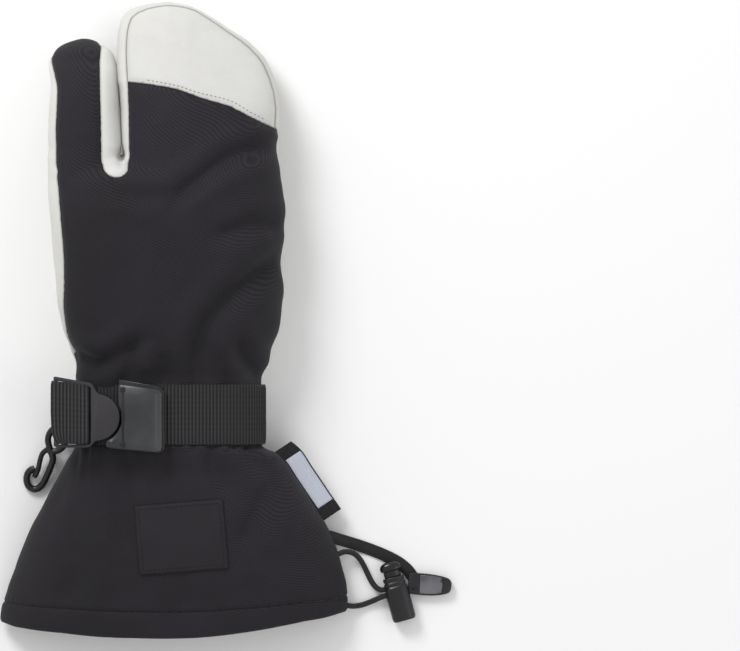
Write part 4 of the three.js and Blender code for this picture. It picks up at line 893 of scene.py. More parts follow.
def voxel_joined(parts, size):
    together = bmesh.new()
    for part in parts:
        mesh = bpy.data.meshes.new("tube")
        part.to_mesh(mesh)
        part.free()
        together.from_mesh(mesh)
        bpy.data.meshes.remove(mesh)
    mesh = bpy.data.meshes.new("tubes")
    together.to_mesh(mesh)
    together.free()
    holder = bpy.data.objects.new("tubes", mesh)
    bpy.context.scene.collection.objects.link(holder)
    modifier(holder, "REMESH", mode="VOXEL", voxel_size=size / 1000)
    solid = holder.evaluated_get(bpy.context.evaluated_depsgraph_get())
    skin = bmesh.new()
    skin.from_mesh(solid.to_mesh())
    bpy.data.objects.remove(holder)
    bpy.data.meshes.remove(mesh)
    return skin


skin = voxel_joined([
    closed_tube(trunk, CUFF - 6, trunk[-1, 0], 60, 150),
    closed_tube(fingers, fingers[0, 0], fingers[-1, 0], 80, 130),
    closed_tube(index, index[0, 0], index[-1, 0], 80, 100, SPREAD),
], VOXEL)
for _ in range(8):
    bmesh.ops.smooth_vert(
        skin, verts=skin.verts, factor=0.5, use_axis_x=True, use_axis_y=True, use_axis_z=True)
points = np.array([v.co for v in skin.verts]) * 1000 + ORIGIN
moved = spread_of(points[:, 1])
points[:, 0] += np.where(points[:, 0] < SPLIT - moved / 2, moved, 0)
for v, place in zip(skin.verts, to_frame(points)):
    v.co = place
print("skin has", len(skin.faces), "faces")

# %% [markdown]
# ## Where the seams run
# A pattern cutter draws panels flat, and so do these lines: seen from above, the back's border runs
# 3.6 mm inside the outline along the thumb side, round the notch between the fingers and round the
# tip. The palm's border runs 7 mm inside all the way. Each vertex gets its distance to each seam,
# negative outside the panel.

# %% Borders of the panels
INDEX_STRIP, PARTING_STRIP, TIP_STRIP, PALM_INSET = 7.5, 4.4, 1.7, 7.0
OUTSIDE = -14.0


def thumb_side_strip(y):
    """The white strip beside the index finger narrows to a point above the wrist."""
    places = (120, 151, 155, 166, 176, 197, 211, 246, 260, 289, 302, 312, 318)
    widths = (-9, -6, 0.4, 1.4, 2.2, 4.7, 5.5, 5.3, 4.4, 3.9, 3.5, 1.9, 0.9)
    return np.interp(y, places, widths)


def even_strip(y):
    return PALM_INSET + 0 * np.asarray(y, float)


def side_line(rows, column, first, last, count):
    y = np.linspace(first, last, count)
    return np.column_stack([section_at(rows, y)[column], y])


def shifted(line, distance):
    way = np.gradient(line, axis=0)
    way /= np.linalg.norm(way, axis=1, keepdims=True)
    distance = np.reshape(distance, (-1, 1))
    return line + distance * np.column_stack([way[:, 1], -way[:, 0]])


def tip_line(rows, first, left, tip, right, count=14):
    last = rows[-1, 0]
    y = first + (last - first) * (1 - (1 - np.linspace(0, 1, count)) ** 2)
    section = section_at(rows, first)
    centre, reach = (section[0] + section[1]) / 2, (section[1] - section[0]) / 2
    lines = []
    for column, inset in ((0, left), (1, right)):
        x = centre + (section_at(rows, y)[column] - centre) * (reach - inset) / reach
        shorter = (last - first - tip) / (last - first)
        lines.append(np.column_stack([x, first + (y - first) * shorter]))
    return np.vstack([lines[0], lines[1][::-1]])


def panel_border(edge, index_tip, index_inner, parting_inner, tip, little_side):
    start = CUFF - 14
    split = CROTCH + 0.06 * FINGERS
    index_turn = CROTCH + 0.76 * INDEX
    over = index[-1, 0] + 9
    turn_edge = float(edge(index_turn))
    index_left = section_at(index, index_turn)[0][0] + turn_edge
    index_end = np.array([(index_left, over), (INDEX_RIGHT - index_inner, over)])
    if index_tip > 0:
        index_end = tip_line(index, index_turn, turn_edge, index_tip, index_inner)
    notch_centre = (INDEX_RIGHT + FINGERS_LEFT + parting_inner - index_inner) / 2
    radius = (parting_inner + index_inner + PARTING) / 2
    turn = np.pi + np.pi * np.arange(1, 12) / 12
    notch = np.column_stack([
        notch_centre + radius * np.cos(turn), split + 1 + radius * np.sin(turn)])
    hand_side = side_line(trunk, 0, start, CROTCH + 0.04 * FINGERS, 40)
    index_side = side_line(index, 0, split, index_turn - 4, 14)
    return np.vstack([
        shifted(hand_side, edge(hand_side[:, 1])),
        shifted(index_side, edge(index_side[:, 1])),
        index_end,
        shifted(side_line(index, 1, index_turn - 4, split + 4, 6), index_inner),
        notch,
        tip_line(fingers, CROTCH + 0.29 * FINGERS, parting_inner, tip, tip),
        shifted(side_line(trunk, 1, CROTCH, start, 14), little_side),
    ])


def inside_distance(border, flat):
    """Distance of each flat point to a closed border, positive inside it."""
    nearest = np.full(len(flat), 1e9)
    inside = np.zeros(len(flat), bool)
    for a, b in zip(border, np.roll(border, -1, axis=0)):
        way = b - a
        share = np.clip(((flat - a) @ way) / max(way @ way, 1e-9), 0, 1)
        nearest = np.minimum(nearest, np.linalg.norm(flat - a - share[:, None] * way, axis=1))
        crosses = (a[1] > flat[:, 1]) != (b[1] > flat[:, 1])
        rise = way[1] if way[1] else 1e-9
        inside ^= crosses & (flat[:, 0] < a[0] + (flat[:, 1] - a[1]) * way[0] / rise)
    return np.where(inside, nearest, -nearest)


back_border = panel_border(
    thumb_side_strip, OUTSIDE, INDEX_STRIP, PARTING_STRIP, TIP_STRIP, OUTSIDE)
palm_border = panel_border(
    even_strip, PALM_INSET, PALM_INSET - 1, PALM_INSET - 1, PALM_INSET, PALM_INSET)
cap_edge = np.array([
    (-0.2, 0.545), (0.05, 0.545), (0.18, 0.535), (0.37, 0.5), (0.5, 0.46), (0.69, 0.415),
    (0.81, 0.352), (0.9, 0.31), (0.98, 0.277), (1.3, 0.2),
]) * (FINGERS_WIDTH, FINGERS) + (FINGERS_LEFT, CROTCH)
print("borders have", len(back_border), "and", len(palm_border), "points")

# %% [markdown]
# ## Cut the skin along its seams
# A field is a number at each vertex. Where it changes sign along an edge, the edge is split at the
# zero, and the new vertices are joined across their faces. The cut is then exactly on the seam.
# Blender's layers carry the numbers through each cut.

# %% Cut along a field
def fields_of(points):
    x, y, z = points.T
    blend = np.clip((y - CROTCH + 10) / 14, 0, 1)
    seam_hand = seam_height(trunk, x, np.minimum(y, CROTCH))
    seam_tip = np.where(x < SPLIT, seam_height(index, x, y), seam_height(fingers, x, y))
    above = z - (seam_hand + (seam_tip - seam_hand) * blend)
    back = np.minimum(inside_distance(back_border, points[:, :2]), above)
    palm = np.minimum(inside_distance(palm_border, points[:, :2]), -above)
    past_cap = (y - np.interp(x, cap_edge[:, 0], cap_edge[:, 1])) * 0.93
    past_cap = np.where(x < SPLIT, -50.0, past_cap)
    return {"back": back, "palm": palm, "cap": past_cap, "above": above}


def lay_fields(bm, fields):
    for name, values in fields.items():
        layer = bm.verts.layers.float.new(name)
        for v, value in zip(bm.verts, values):
            v[layer] = 0.0 if abs(value) < 0.15 else value


def cut_along(bm, name):
    layer = bm.verts.layers.float[name]
    places = {}
    for edge in bm.edges:
        a, b = (v[layer] for v in edge.verts)
        if a * b < 0:
            places[edge] = a / (a - b)
    made = bmesh.ops.bisect_edges(
        bm, edges=list(places), cuts=1, edge_percents=places)["geom_split"]
    fresh = [v for v in made if isinstance(v, bmesh.types.BMVert)]
    for v in fresh:
        v[layer] = 0.0
    on_line = set(fresh) | {v for v in bm.verts if v[layer] == 0.0}
    for face in {f for v in on_line for f in v.link_faces}:
        touched = [v for v in face.verts if v in on_line]
        if len(touched) == 2 and not any(set(e.verts) == set(touched) for e in face.edges):
            bmesh.utils.face_split(face, *touched)


def in_panel(face, layer):
    return sum(v[layer] for v in face.verts) > 0


lay_fields(skin, fields_of(points))
for name in ("back", "palm", "cap"):
    cut_along(skin, name)
print("skin has", len(skin.faces), "faces after the cuts")

# %% [markdown]
# ## Puff, pinch and press
# Sewn panels swell between their seams and dip at them. The dip follows the distance to the
# nearest seam, the creases are pressed into the back, and slow waves keep the rest from looking
# inflated. All of it moves each vertex along its own normal.

# %% Shape the skin
names = ("back", "palm", "cap", "above")
layers = {name: skin.verts.layers.float[name] for name in names}
values = {name: np.array([v[layer] for v in skin.verts]) for name, layer in layers.items()}
# The worn tip isn't an even arc: it stands up near its middle and slopes off to the right (mm).
TIP_PULL = [(-32, 0), (-22, 0.8), (-14, 1.2), (-2, 2.2), (9, 1.3), (16, -0.4), (24, -2.5),
            (31, -3.9), (37, -4.0), (44, -3.2), (50, -1.4), (55, 0)]
skin.normal_update()
points = np.array([v.co for v in skin.verts]) * 1000 + ORIGIN
normals = np.array([v.normal for v in skin.verts])
in_back = values["back"] >= 0
nearest = np.minimum(np.abs(values["back"]), np.abs(values["palm"]))
nearest = np.where(in_back, np.minimum(nearest, np.abs(values["cap"])), nearest)
pinch = 1.0 * np.exp(-(nearest / 1.5) ** 2) + 0.5 * np.exp(-(nearest / 5) ** 2)
strap_zone = np.clip((150 - points[:, 1]) / 14, 0, 1)
cloth = np.clip(values["above"] / 5, 0, 1)
black = cloth * np.clip(-values["cap"] / 4, 0, 1)
creased = crease_depth(points) * black
slow = waves(points, 38, 3) * 1.3 + waves(points, 13, 4) * 0.4
leather_slow = waves(points, 24, 5) * 0.7 + waves(points, 7, 6) * 0.16
parting = np.exp(-((points[:, 0] - SPLIT) / 1.9) ** 2) * cloth
parting *= np.clip((points[:, 1] - CROTCH - 4) / 5, 0, 1)
parting *= np.clip((CROTCH + 19 - points[:, 1]) / 6, 0, 1)
gather = strap_zone * (1 - cloth) * (0.8 + 1.1 * np.sin(points[:, 0] * 0.95))
press = creased + pinch + black * slow + (1 - black) * leather_slow + 2.0 * parting + gather
points = points - normals * press[:, None]
points[:, 2] = np.maximum(points[:, 2], 0.02)
x, y = points[:, 0].copy(), points[:, 1]
past_crotch = np.clip((y - CROTCH - 8) / 8, 0, 1)
points[:, 0] += 0.75 * np.sign(SPLIT - x) * np.exp(-((x - SPLIT) / 6) ** 2) * past_crotch
lean = np.clip((CROTCH + 67 - y) / 54, 0, 1) * np.clip((y - CROTCH + 9) / 12, 0, 1)
points[:, 0] += 3.0 * np.exp(-((x - SPLIT) / 9) ** 2) * lean
tip_x, tip_y = np.array(TIP_PULL).T
points[:, 1] += np.interp(x, tip_x, tip_y) * np.clip((y - CROTCH - 25) / 45, 0, 1) ** 2
shoulder = np.exp(-((y - CROTCH - 64.5) / 9) ** 2) * np.clip((SPLIT - 8 - x) / 25, 0, 1)
points[:, 0] -= 3.0 * shoulder
seam_layer = skin.verts.layers.float.new("seam")
for v, place, distance in zip(skin.verts, to_frame(points), nearest):
    v.co = place
    v[seam_layer] = min(distance, 20.0)
print("deepest press", round(float(press.max()), 2), "mm")

# %% Take the skin apart into its panels
def panel_from(bm, keep, name, material, node, thickness=1.4):
    part = bm.copy()
    gone = [face for face, kept in zip(part.faces, keep) if not kept]
    bmesh.ops.delete(part, geom=gone, context="FACES")
    piece = settle(part, name, material, [node])
    modifier(piece, "SOLIDIFY", thickness=thickness / 1000, offset=-1.0, use_rim=True)
    print(name, "has", len(piece.data.polygons), "faces")
    return piece


layers = {name: skin.verts.layers.float[name] for name in names}
faces_back = [in_panel(face, layers["back"]) for face in skin.faces]
faces_palm = [in_panel(face, layers["palm"]) for face in skin.faces]
faces_cap = [b and in_panel(face, layers["cap"]) for b, face in zip(faces_back, skin.faces)]
past_wrist = [face.calc_center_median().y * 1000 + ORIGIN[1] > CUFF - 4 for face in skin.faces]
hand_back = panel_from(
    skin, [w and b and not c for w, b, c in zip(past_wrist, faces_back, faces_cap)],
    "hand_back", softshell, "back_panel")
panel_from(
    skin, faces_cap, "leather_cap", white_leather, "fingertip_cap")
palm = panel_from(
    skin, [w and p for w, p in zip(past_wrist, faces_palm)],
    "leather_palm", palm_leather, "palm_panel")
panel_from(
    skin, [w and not b and not p for w, b, p in zip(past_wrist, faces_back, faces_palm)],
    "side_strip", white_leather, "side_gusset")

# %% [markdown]
# ## The thumb
# The thumb lies folded under the palm, so it shows only from below and from the sides. Its tube is
# rolled from its own table, cut along the seam of its black panel, and set into the palm.

# %% Thumb
def thumb_fields(points):
    x, y, z = points.T
    seam = shifted(side_line(thumb, 0, thumb[0, 0] - 1, thumb[-1, 0], 20), 15 * 0.9)
    inner = (x - np.interp(y, seam[:, 1], seam[:, 0])) * 0.95
    return {"black": np.minimum(inner, seam_height(thumb, x, y) - z)}


thumb_skin = closed_tube(thumb, thumb[0, 0], thumb[-1, 0], 90, 90)
for _ in range(3):
    bmesh.ops.smooth_vert(
        thumb_skin, verts=thumb_skin.verts, factor=0.5,
        use_axis_x=True, use_axis_y=True, use_axis_z=True)
points = np.array([v.co for v in thumb_skin.verts]) * 1000 + ORIGIN
lay_fields(thumb_skin, thumb_fields(points))
cut_along(thumb_skin, "black")
layer = thumb_skin.verts.layers.float["black"]
near = np.array([abs(v[layer]) for v in thumb_skin.verts])
thumb_skin.normal_update()
points = np.array([v.co for v in thumb_skin.verts]) * 1000 + ORIGIN
normals = np.array([v.normal for v in thumb_skin.verts])
press = 0.9 * np.exp(-(near / 1.4) ** 2) + waves(points, 20, 8) * 0.6 + 0.1
points = points - normals * press[:, None]
points[:, 2] = np.maximum(points[:, 2], 0.02)
seam_layer = thumb_skin.verts.layers.float.new("seam")
for v, place, distance in zip(thumb_skin.verts, to_frame(points), near):
    v.co = place
    v[seam_layer] = min(distance, 20.0)
layer = thumb_skin.verts.layers.float["black"]
faces_black = [in_panel(face, layer) for face in thumb_skin.faces]
thumb_black = panel_from(
    thumb_skin, faces_black, "thumb_black", softshell, "thumb_back")
thumb_white = panel_from(
    thumb_skin, [not b for b in faces_black],
    "thumb_white", white_leather, "thumb_leather")

# %% [markdown]
# ## The lining
# Whoever looks in at the hem sees the dark lining run on into the hand. It is a tube a little
# inside the shell, closed at its far end.

# %% Lining of the hand
lining_bm = closed_tube(trunk, CUFF - 12, trunk[-1, 0] - 6, 40, 90, inset=4.0)
lining_bm.faces.ensure_lookup_table()
near_end = min(v.co.y for v in lining_bm.verts) + 1e-4
opening = [f for f in lining_bm.faces if all(v.co.y < near_end for v in f.verts)]
bmesh.ops.delete(lining_bm, geom=opening, context="FACES")
lining = settle(lining_bm, "hand_lining", lining_cloth)
modifier(lining, "SOLIDIFY", thickness=0.0006, offset=-1.0)
print("lining runs on", round(trunk[-1, 0] - 6 - CUFF), "mm past the cuff")

# %% [markdown]
# ## The wrist strap
# The strap is 33 mm webbing with ribs across it. A tube of ribs can't be faked by a picture when
# it is seen from the side, so the grid is fine enough for each rib to be real: its thickness swells
# and shrinks once in 1.15 mm.

# %% Webbing over the back and through the buckle
STRAP_WIDTH, STRAP_THICKNESS, STRAP_CENTRE = 33.0, 1.6, 123.5
back_line = [
    (-39.39, 45.07), (-35.51, 46.76), (-31.22, 48.18), (-26.54, 49.34), (-21.46, 50.23),
    (-15.97, 50.83), (-10, 51.14), (-3.13, 51.15), (4.91, 50.84), (11.18, 50.31), (16.87, 49.51),
    (22.13, 48.45), (26.99, 47.13), (31.45, 45.57), (35.52, 43.77), (39.16, 41.73),
    (42.36, 39.48), (45.11, 37.02), (47.38, 34.36), (49.16, 31.5), (50.44, 28.42),
    (51.22, 25.07), (51.48, 21),
]
loop_line = [
    (-44.9, 50.9), (-45.3, 55.5), (-47.2, 57.35), (-52.68, 56.79), (-62.52, 55.69),
    (-64.77, 53.32), (-64.13, 49.37), (-60.07, 42.78), (-53.71, 35.44), (-53.41, 21.45),
    (-51.42, 17.42), (-47.48, 13.92), (-41.7, 10.9), (-34.21, 8.39), (-21.77, 5.94),
]


def webbing_band(line, name, width, node, pulled=None):
    path, length = smooth_route([(x, STRAP_CENTRE, z) for x, z in line], 400)

    def rule(u, v):
        at, way = along_path(path, u)
        up = np.cross(way, [0, 1, 0])
        turn = 2 * np.pi * v
        across = squared(np.cos(turn), 0.3) * width / 2
        rise = squared(np.sin(turn), 0.5) * STRAP_THICKNESS / 2
        rib = 0.24 * np.cos(u * length / RIB * 2 * np.pi) * (np.abs(across) < width / 2 - 1.2)
        selvedge = 0.12 * (np.abs(np.abs(across) - (width / 2 - 1.1)) < 0.5)
        rise = rise * (0.78 + rib - selvedge)
        band = at + np.outer(across, [0, 1, 0]) + up * rise[:, None]
        return to_frame(pulled(band) if pulled else band)

    steps = int(length / RIB * 8)
    bm = rolled(steps, 36, rule, length, 2 * width)
    return settle(bm, name, strap_webbing, [node]), length


strap_over, length = webbing_band(back_line, "strap_over_back", STRAP_WIDTH, "strap_back")
print("strap over the back:", round(length), "mm")


def slanted(band):
    """The webbing rises towards the fold at its outer end, and the fold's lower corner turns in."""
    x, y, z = band.T
    outer = np.clip((-43 - x) / 21, 0, 1) * np.clip((z - 40) / 12, 0, 1)
    upper = np.clip((y - 108) / 30, 0, 1)
    corner = np.clip(118 - y, 0, 11) ** 2 * 0.026 * np.clip((-57 - x) / 7, 0, 1)
    return np.column_stack([x + corner, y + outer * upper * 2.6, z])


strap_under, length = webbing_band(
    loop_line, "strap_through_buckle", STRAP_WIDTH - 1, "strap_loop", slanted)
print("strap through the buckle:", round(length), "mm")

# %% [markdown]
# ## The buckle
# The receiver is a crowned shell on a thin deck, and the tongue is a half-round plate with a frame
# for the webbing. The groove near the receiver's mouth is not cut: a thin dark strip on the crown
# is painted shade where it lies. Each is an outline drawn flat, filled and drawn up, as a mould
# maker would cut it, and then eased at its rim so that the lamps draw a bright line.

# %% Receiver
BUCKLE_PLACE, BUCKLE_TILT = (-4.0, 123.5, 53.39), -6.4
DISC_X, DISC_Y, DISC_RADIUS = -35.7, -1.4, 12.6


def arc(radius, first, last, count):
    turn = np.radians(np.linspace(first, last, count))
    return [(DISC_X + radius * math.cos(a), DISC_Y + radius * math.sin(a)) for a in turn]


deck_outline = [(-24, 19.4), (-2.4, 15.8), (-0.6, 15.0), (1, 13), (1.2, -17.6), (0.4, -20),
                (-1.8, -21), (-29, -18.4), (-27.4, -14), (-22.6, -8), (-21.6, -1.4), (-22.6, 5)]
shell_outline = [(-23.6, 15.6), (-22.8, 16.6), (-2.6, 14), (-0.8, 13.2), (0, 11.6), (0, -18),
                 (-0.8, -19.8), (-2.6, -20.4), (-29.6, -17.8), (-30.6, -17), (-30.2, -15.2)]
shell_outline += arc(14.1, -66, 30, 14) + [(-23.6, 8.4)]
receiver_bm = plate([shell_outline], 2.6, 8.3, 0.7)
crown = [f for f in receiver_bm.faces if f.normal.z > 0.99 and f.calc_center_median().z > 0.008]
bmesh.ops.inset_region(receiver_bm, faces=crown, thickness=0.0018, depth=0.0009)
for x in (-10, -8, -6, -4, -2):
    bmesh.ops.bisect_plane(receiver_bm, geom=receiver_bm.verts[:] + receiver_bm.edges[:]
                           + receiver_bm.faces[:], plane_co=(x / 1000, 0, 0), plane_no=(1, 0, 0))
for v in receiver_bm.verts:
    fall = min(max((v.co.x + 0.011) / 0.011, 0), 1)
    v.co.z -= 0.0026 * fall ** 2 * min(max((v.co.z - 0.0034) / 0.005, 0), 1)
receiver = settle(placed(receiver_bm, BUCKLE_PLACE, tilt=BUCKLE_TILT), "buckle_receiver",
                  receiver_plastic, ["buckle_frame"])
SHARP_ANGLE = math.radians(38)
receiver.data.set_sharp_from_angle(angle=SHARP_ANGLE)
deck = settle(placed(plate([deck_outline], 0, 3.2, 0.8), BUCKLE_PLACE, tilt=BUCKLE_TILT),
              "buckle_deck", satin_plastic)
# Painted shade: the groove isn't cut into the shell, and this thin dark strip stands for the shade
# in it.
groove_line = [(-21.8, -16.6), (-20.2, -16.6), (-20.2, 13.8), (-21.8, 13.8)]
groove = settle(placed(plate([groove_line], 8, 9.28, 0.25), BUCKLE_PLACE, tilt=BUCKLE_TILT),
                "buckle_groove_shade", dark_plastic)
for name, x, y in (("pin_low", -21, -16.4), ("pin_high", -21, 13.8)):
    ring_mark("buckle_" + name, x, y, 9.1, 0.85, 0.65, dark_plastic, BUCKLE_PLACE, 0, BUCKLE_TILT)
print("receiver has", len(receiver.data.polygons), "faces")

# %% [markdown]
# ## The tongue of the buckle
# The tongue is one flat outline with a second one inside it, the slot for the webbing. Filled
# together they leave the slot open, so no hole has to be cut afterwards.

# %% Tongue
tongue_outline = [(-59.6, 20.4), (-58.8, 20.9), (-40, 17.5), (-38.4, 16.8), (-37.2, 15),
                  (-36, 12.8), (-34.6, 11.3)] + arc(DISC_RADIUS, 80, -80, 25)
tongue_outline += [(-36.6, -14.4), (-38, -16), (-39.4, -17.4), (-41.4, -18), (-58, -18),
                   (-59.4, -17)]
tongue_slot = [(-57.6, 18.6), (-39.4, 15.3), (-38.9, 14.4), (-38.9, -15.6), (-39.6, -16.4),
               (-57, -16.4), (-57.6, -15.8)]
tongue = settle(placed(plate([tongue_outline, tongue_slot[::-1]], 3.9, 7.7, 0.7), BUCKLE_PLACE,
                       tilt=BUCKLE_TILT), "buckle_tongue_plate", matt_plastic,
                ["buckle_tongue"])
tongue.data.set_sharp_from_angle(angle=SHARP_ANGLE)
print("tongue has", len(tongue.data.polygons), "faces")

# %% [markdown]
# ## The snap hook
# The hook is a rod of plastic bent into a ring and a long eye, with a springy gate inside the eye.
# Three rods are rolled along their centre lines and joined by a fine voxel remesh, which welds
# them as the mould would.

# %% Snap hook and the loop that carries it
HOOK_PLACE = np.array([-58.7, 109.5, 10.4])
HOOK_SLOPE = math.sin(math.radians(15))
LOWEST_ROD = 2.0
hook_rods = {
    "eye": (3.9, [(-66.9, 103.4), (-65.5, 98.8), (-67.1, 93.7), (-69.4, 88.3), (-71.5, 84.6),
                  (-74.2, 82.3), (-77, 82.2), (-79.4, 84.2), (-80.2, 87.4), (-79.6, 90.6),
                  (-77.7, 92.8), (-75.8, 93.4)]),
    "gate": (3.0, [(-68.1, 104.5), (-71.3, 101.8), (-72.7, 98), (-73.6, 93.7), (-74.8, 90.6),
                   (-76.1, 88.7)]),
    "ring": (3.7, [(-66.9, 103.2), (-67.9, 107), (-68.2, 110.1), (-66.9, 113.6), (-64.4, 115.8),
                   (-61.2, 116.4), (-58.1, 115.5), (-57.8, 113), (-58.4, 109.5), (-59.3, 106.3),
                   (-61.9, 103.8), (-64.7, 102.9), (-66.9, 103.2)]),
}


def on_hook_plane(points):
    points = np.array(points, float)
    rise = ((points - HOOK_PLACE[:2]) @ np.array([0.51, 0.86])) * HOOK_SLOPE
    return np.column_stack([points, np.maximum(HOOK_PLACE[2] + rise, LOWEST_ROD)])


hook_bm = voxel_joined(
    [round_cord(on_hook_plane(line), thick, 40, 16)[0] for thick, line in hook_rods.values()], 0.35)
for _ in range(3):
    bmesh.ops.smooth_vert(
        hook_bm, verts=hook_bm.verts, factor=0.5, use_axis_x=True, use_axis_y=True, use_axis_z=True)
hook = settle(hook_bm, "snap_hook_rod", satin_plastic, ["snap_hook"])


def loop_rule(u, v):
    """A flat band round an upright stadium, wide along X."""
    turn = 2 * np.pi * u
    across = 2 * np.pi * v
    reach = 3.3 + 0.6 * squared(np.sin(across), 0.6)
    straight = np.clip(np.sin(turn) * 3, -1, 1) * 2.3
    return to_frame(np.column_stack([
        -57.87 + 4 * squared(np.cos(across), 0.3), 114.07 + reach * np.cos(turn),
        13.34 + straight + reach * np.sin(turn)]))


hook_loop = settle(rolled(48, 20, loop_rule, 28, 16, fill=False), "hook_loop_band", ribbon_cloth,
                   ["hook_loop"])
print("hook has", len(hook.data.polygons), "faces")

# %% [markdown]
# ## Patch, ribbon and thread
# The patch and the ribbon lie on the cuff, and a ray finds the cloth under each point of the patch,
# as a hand would feel for it. The same rays place every stitch: a stitch is a tiny rounded bead
# laid along its line, and hundreds of them make a seam, so each has only twenty faces.

# %% Rays onto the cloth
skin_tree = BVHTree.FromBMesh(skin)
cuff_tree = BVHTree.FromObject(cuff, bpy.context.evaluated_depsgraph_get())


def on_cloth(tree, flat, side=1):
    """Where points of the plan meet the surface, from above (1) or below (-1), and its normals."""
    found = []
    for x, y, _ in to_frame(np.column_stack([flat, np.zeros(len(flat))])):
        at, normal, _, _ = tree.ray_cast(Vector((x, y, side)), Vector((0, 0, -side)))
        if at is not None:
            found.append((at, normal if normal.z * side > 0 else -normal))
    return found


def sewn(name, tree, lines, material, pitch=3.2, length=2.3, thick=0.55, side=1, turn=0.0):
    """Stitches along lines of the plan, laid on the cloth."""
    bm = bmesh.new()
    for line in lines:
        line = np.array([(x, y, 0) for x, y in line], float)
        run = smooth_route(line, 2)[1]
        spots = on_cloth(tree, smooth_route(line, max(int(run / pitch), 2) + 1)[0][:, :2], side)
        for (at, up), (after, _) in zip(spots, spots[1:]):
            if (after - at).length > 3 * pitch / 1000:
                continue
            way = Matrix.Rotation(turn, 3, up) @ (after - at).normalized()
            across = up.cross(way).normalized()
            axes = Matrix((way, across, way.cross(across))).transposed().to_4x4()
            size = Matrix.Diagonal((length / 1000, thick / 1000, thick / 1000, 1))
            place = Matrix.Translation((at + after) / 2 + up * thick * 0.0001)
            bmesh.ops.create_icosphere(bm, subdivisions=1, radius=0.5, matrix=place @ axes @ size)
    piece = settle(bm, name, material)
    print(name, "has", len(piece.data.polygons) // 20, "stitches")
    return piece


# %% [markdown]
# ## The patch on the cuff
# The patch is a piece of close twill, sewn flat. A grid stands for it, each point is dropped onto
# the cuff, and Solidify gives it the thickness of the cloth.

# %% Label patch
LABEL_CENTRE, LABEL_SIZE, LABEL_TURN = np.array([5.89, 56.33]), np.array([48.0, 37.5]), 4.6
label_turn = np.array([[math.cos(math.radians(LABEL_TURN)), math.sin(math.radians(LABEL_TURN))],
                       [-math.sin(math.radians(LABEL_TURN)), math.cos(math.radians(LABEL_TURN))]])


def on_label(shares):
    return (np.asarray(shares, float) * LABEL_SIZE) @ label_turn + LABEL_CENTRE


label_bm = bmesh.new()
bmesh.ops.create_grid(label_bm, x_segments=60, y_segments=46, size=0.5)
shares = np.array([v.co[:2] for v in label_bm.verts])
for v, (at, up), share in zip(label_bm.verts, on_cloth(cuff_tree, on_label(shares)), shares):
    rim = min(0.5 - abs(share[0]), 0.5 - abs(share[1])) * 40
    v.co = at + up * (0.00025 + 0.0004 * min(rim / 0.8, 1))
label = settle(label_bm, "label_patch", label_patch, ["cuff_label"])
modifier(label, "SOLIDIFY", thickness=0.0007, offset=1.0)
print("label patch is", LABEL_SIZE, "mm")

# %% [markdown]
# ## The ribbon in the side seam
# A folded ribbon is caught in the seam and stands out from it, with a white label on its face. A
# grid is rolled round its flat section, and one rule places both, so the label can't lift off.

# %% Folded ribbon and its white label in the side seam
TAG_FROM, TAG_LENGTH, TAG_WIDTH = 0.785 * CUFF, 37.5, 10.5
TAG_OUT = np.array([0.83, 0.55]) / math.hypot(0.83, 0.55)


def on_tag(along, out, lift):
    y = TAG_FROM - along * TAG_LENGTH
    _, right, _, _, _, right_seam, _ = section_at(trunk, y)
    x = right + 0.6 + out * TAG_WIDTH * TAG_OUT[0]
    wave = 0.25 * np.sin(along * 9) * out
    return np.column_stack([x, y + hem_sweep(right, y) + out * TAG_WIDTH * TAG_OUT[1],
                            right_seam - 3 * out - 0.6 + lift + wave])


def tag_rule(first, last, inner, outer, low, high):
    def rule(u, v):
        turn = 2 * np.pi * v
        out = (inner + outer) / 2 + (outer - inner) / 2 * squared(np.cos(turn), 0.25)
        lift = (low + high) / 2 + (high - low) / 2 * squared(np.sin(turn), 0.5)
        return to_frame(on_tag(first + (last - first) * u, out, lift))
    return rule


tag = settle(rolled(40, 32, tag_rule(0, 1, -0.16, 1, -0.55, 0.6), TAG_LENGTH, 20), "seam_ribbon",
             ribbon_cloth, ["side_tag"])
tag_label = settle(rolled(30, 28, tag_rule(0.13, 0.84, 0.02, 0.93, 0.62, 0.95), 27, 18),
                   "seam_ribbon_label", label_white, ["side_tag_label"])
print("ribbon and its label are on the seam")

# %% [markdown]
# ## Stitches
# Each row follows a line of the pattern: the cap's edge, the hem, the patch, the end of the strap,
# and the slanted row that holds the elastic in the palm side of the wrist.

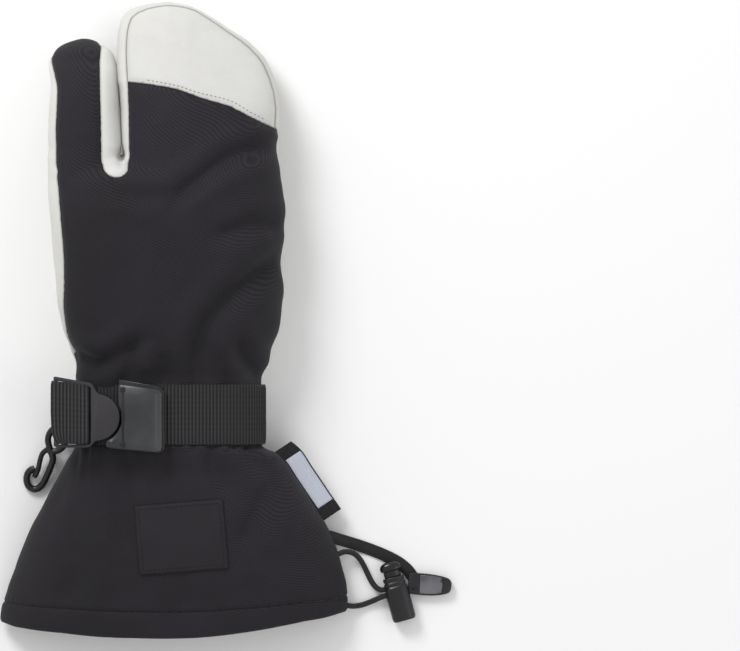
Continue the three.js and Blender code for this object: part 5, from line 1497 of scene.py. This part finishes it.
# %% Stitches
cap_line = [(x, y + 1.9) for x, y in cap_edge if FINGERS_LEFT + 6 < x < 58]
# The grey of these stitches is painted shade of the needle holes along the cap's edge.
sewn("cap_stitches", skin_tree, [cap_line], thread_hole_shade, 2.3, 1.5, 0.5)
hem_xs = np.linspace(-93, 97, 60)
hem_ys = CASING + hem_sweep(hem_xs, np.full(len(hem_xs), CASING))
hem_line = list(zip(hem_xs, hem_ys))
sewn("hem_stitches", cuff_tree, [hem_line], thread_black, 3.0, 2.2, 0.55)
sewn("hem_stitches_below", cuff_tree, [hem_line], thread_black, 3.0, 2.2, 0.55, -1)
frame_line = [on_label(share) for share in (
    (-0.465, -0.45), (0.465, -0.45), (0.465, 0.45), (-0.465, 0.45), (-0.465, -0.45))]
label_tree = BVHTree.FromObject(label, bpy.context.evaluated_depsgraph_get())
label_sides = [np.linspace(a, b, 12) for a, b in zip(frame_line, frame_line[1:])]
sewn("label_stitches", label_tree, label_sides, thread_black, 2.4, 1.7, 0.4)
strap_tree = BVHTree.FromObject(strap_under, bpy.context.evaluated_depsgraph_get())
sewn("strap_stitches", strap_tree, [[(-45.7, y) for y in range(109, 139, 4)]], thread_grey,
     2.6, 1.9, 0.6, -1)
zigzag = [(x, 137.5) for x in range(-50, 51, 10)]
sewn("elastic_stitches", skin_tree, [zigzag], thread_white, 4.2, 4.6, 0.6, -1, 0.8)

# %% [markdown]
# ## Floor and light
# A plain pale floor and large soft lamps, as on a product table. One big lamp above the top left
# gives the soft shadows on the folds, and a weaker one from the right fills them.

# %% Floor, lamps and sky
bm = bmesh.new()
bmesh.ops.create_grid(bm, x_segments=1, y_segments=1, size=3.0)
floor_mesh = bpy.data.meshes.new("table_top")
bm.to_mesh(floor_mesh)
bm.free()
table_top = bpy.data.objects.new("table_top", floor_mesh)
bpy.context.scene.collection.objects.link(table_top)
table_finish = Finish("table_white", Roughness=0.9)
table_finish.shader.inputs["Base Color"].default_value = (0.97, 0.97, 0.97, 1)
floor_mesh.materials.append(table_finish.material)


def lamp(name, place, target, size, power):
    data = bpy.data.lights.new(name, "AREA")
    data.shape = "DISK"
    data.size = size
    data.energy = power
    made = bpy.data.objects.new(name, data)
    bpy.context.scene.collection.objects.link(made)
    made.location = place
    way = Vector(target) - Vector(place)
    made.rotation_euler = way.to_track_quat("-Z", "Y").to_euler()
    return made


lamp("key", (-0.55, 0.95, 0.95), (0, 0, 0), 0.6, 11)
lamp("fill", (1.0, -0.3, 1.0), (0, 0, 0), 1.2, 2.5)
world = bpy.data.worlds.new("studio")
world.use_nodes = True
world.node_tree.nodes["Background"].inputs["Color"].default_value = (1, 1, 1, 1)
world.node_tree.nodes["Background"].inputs["Strength"].default_value = 0.64
bpy.context.scene.world = world
bpy.context.scene.view_settings.view_transform = "Standard"
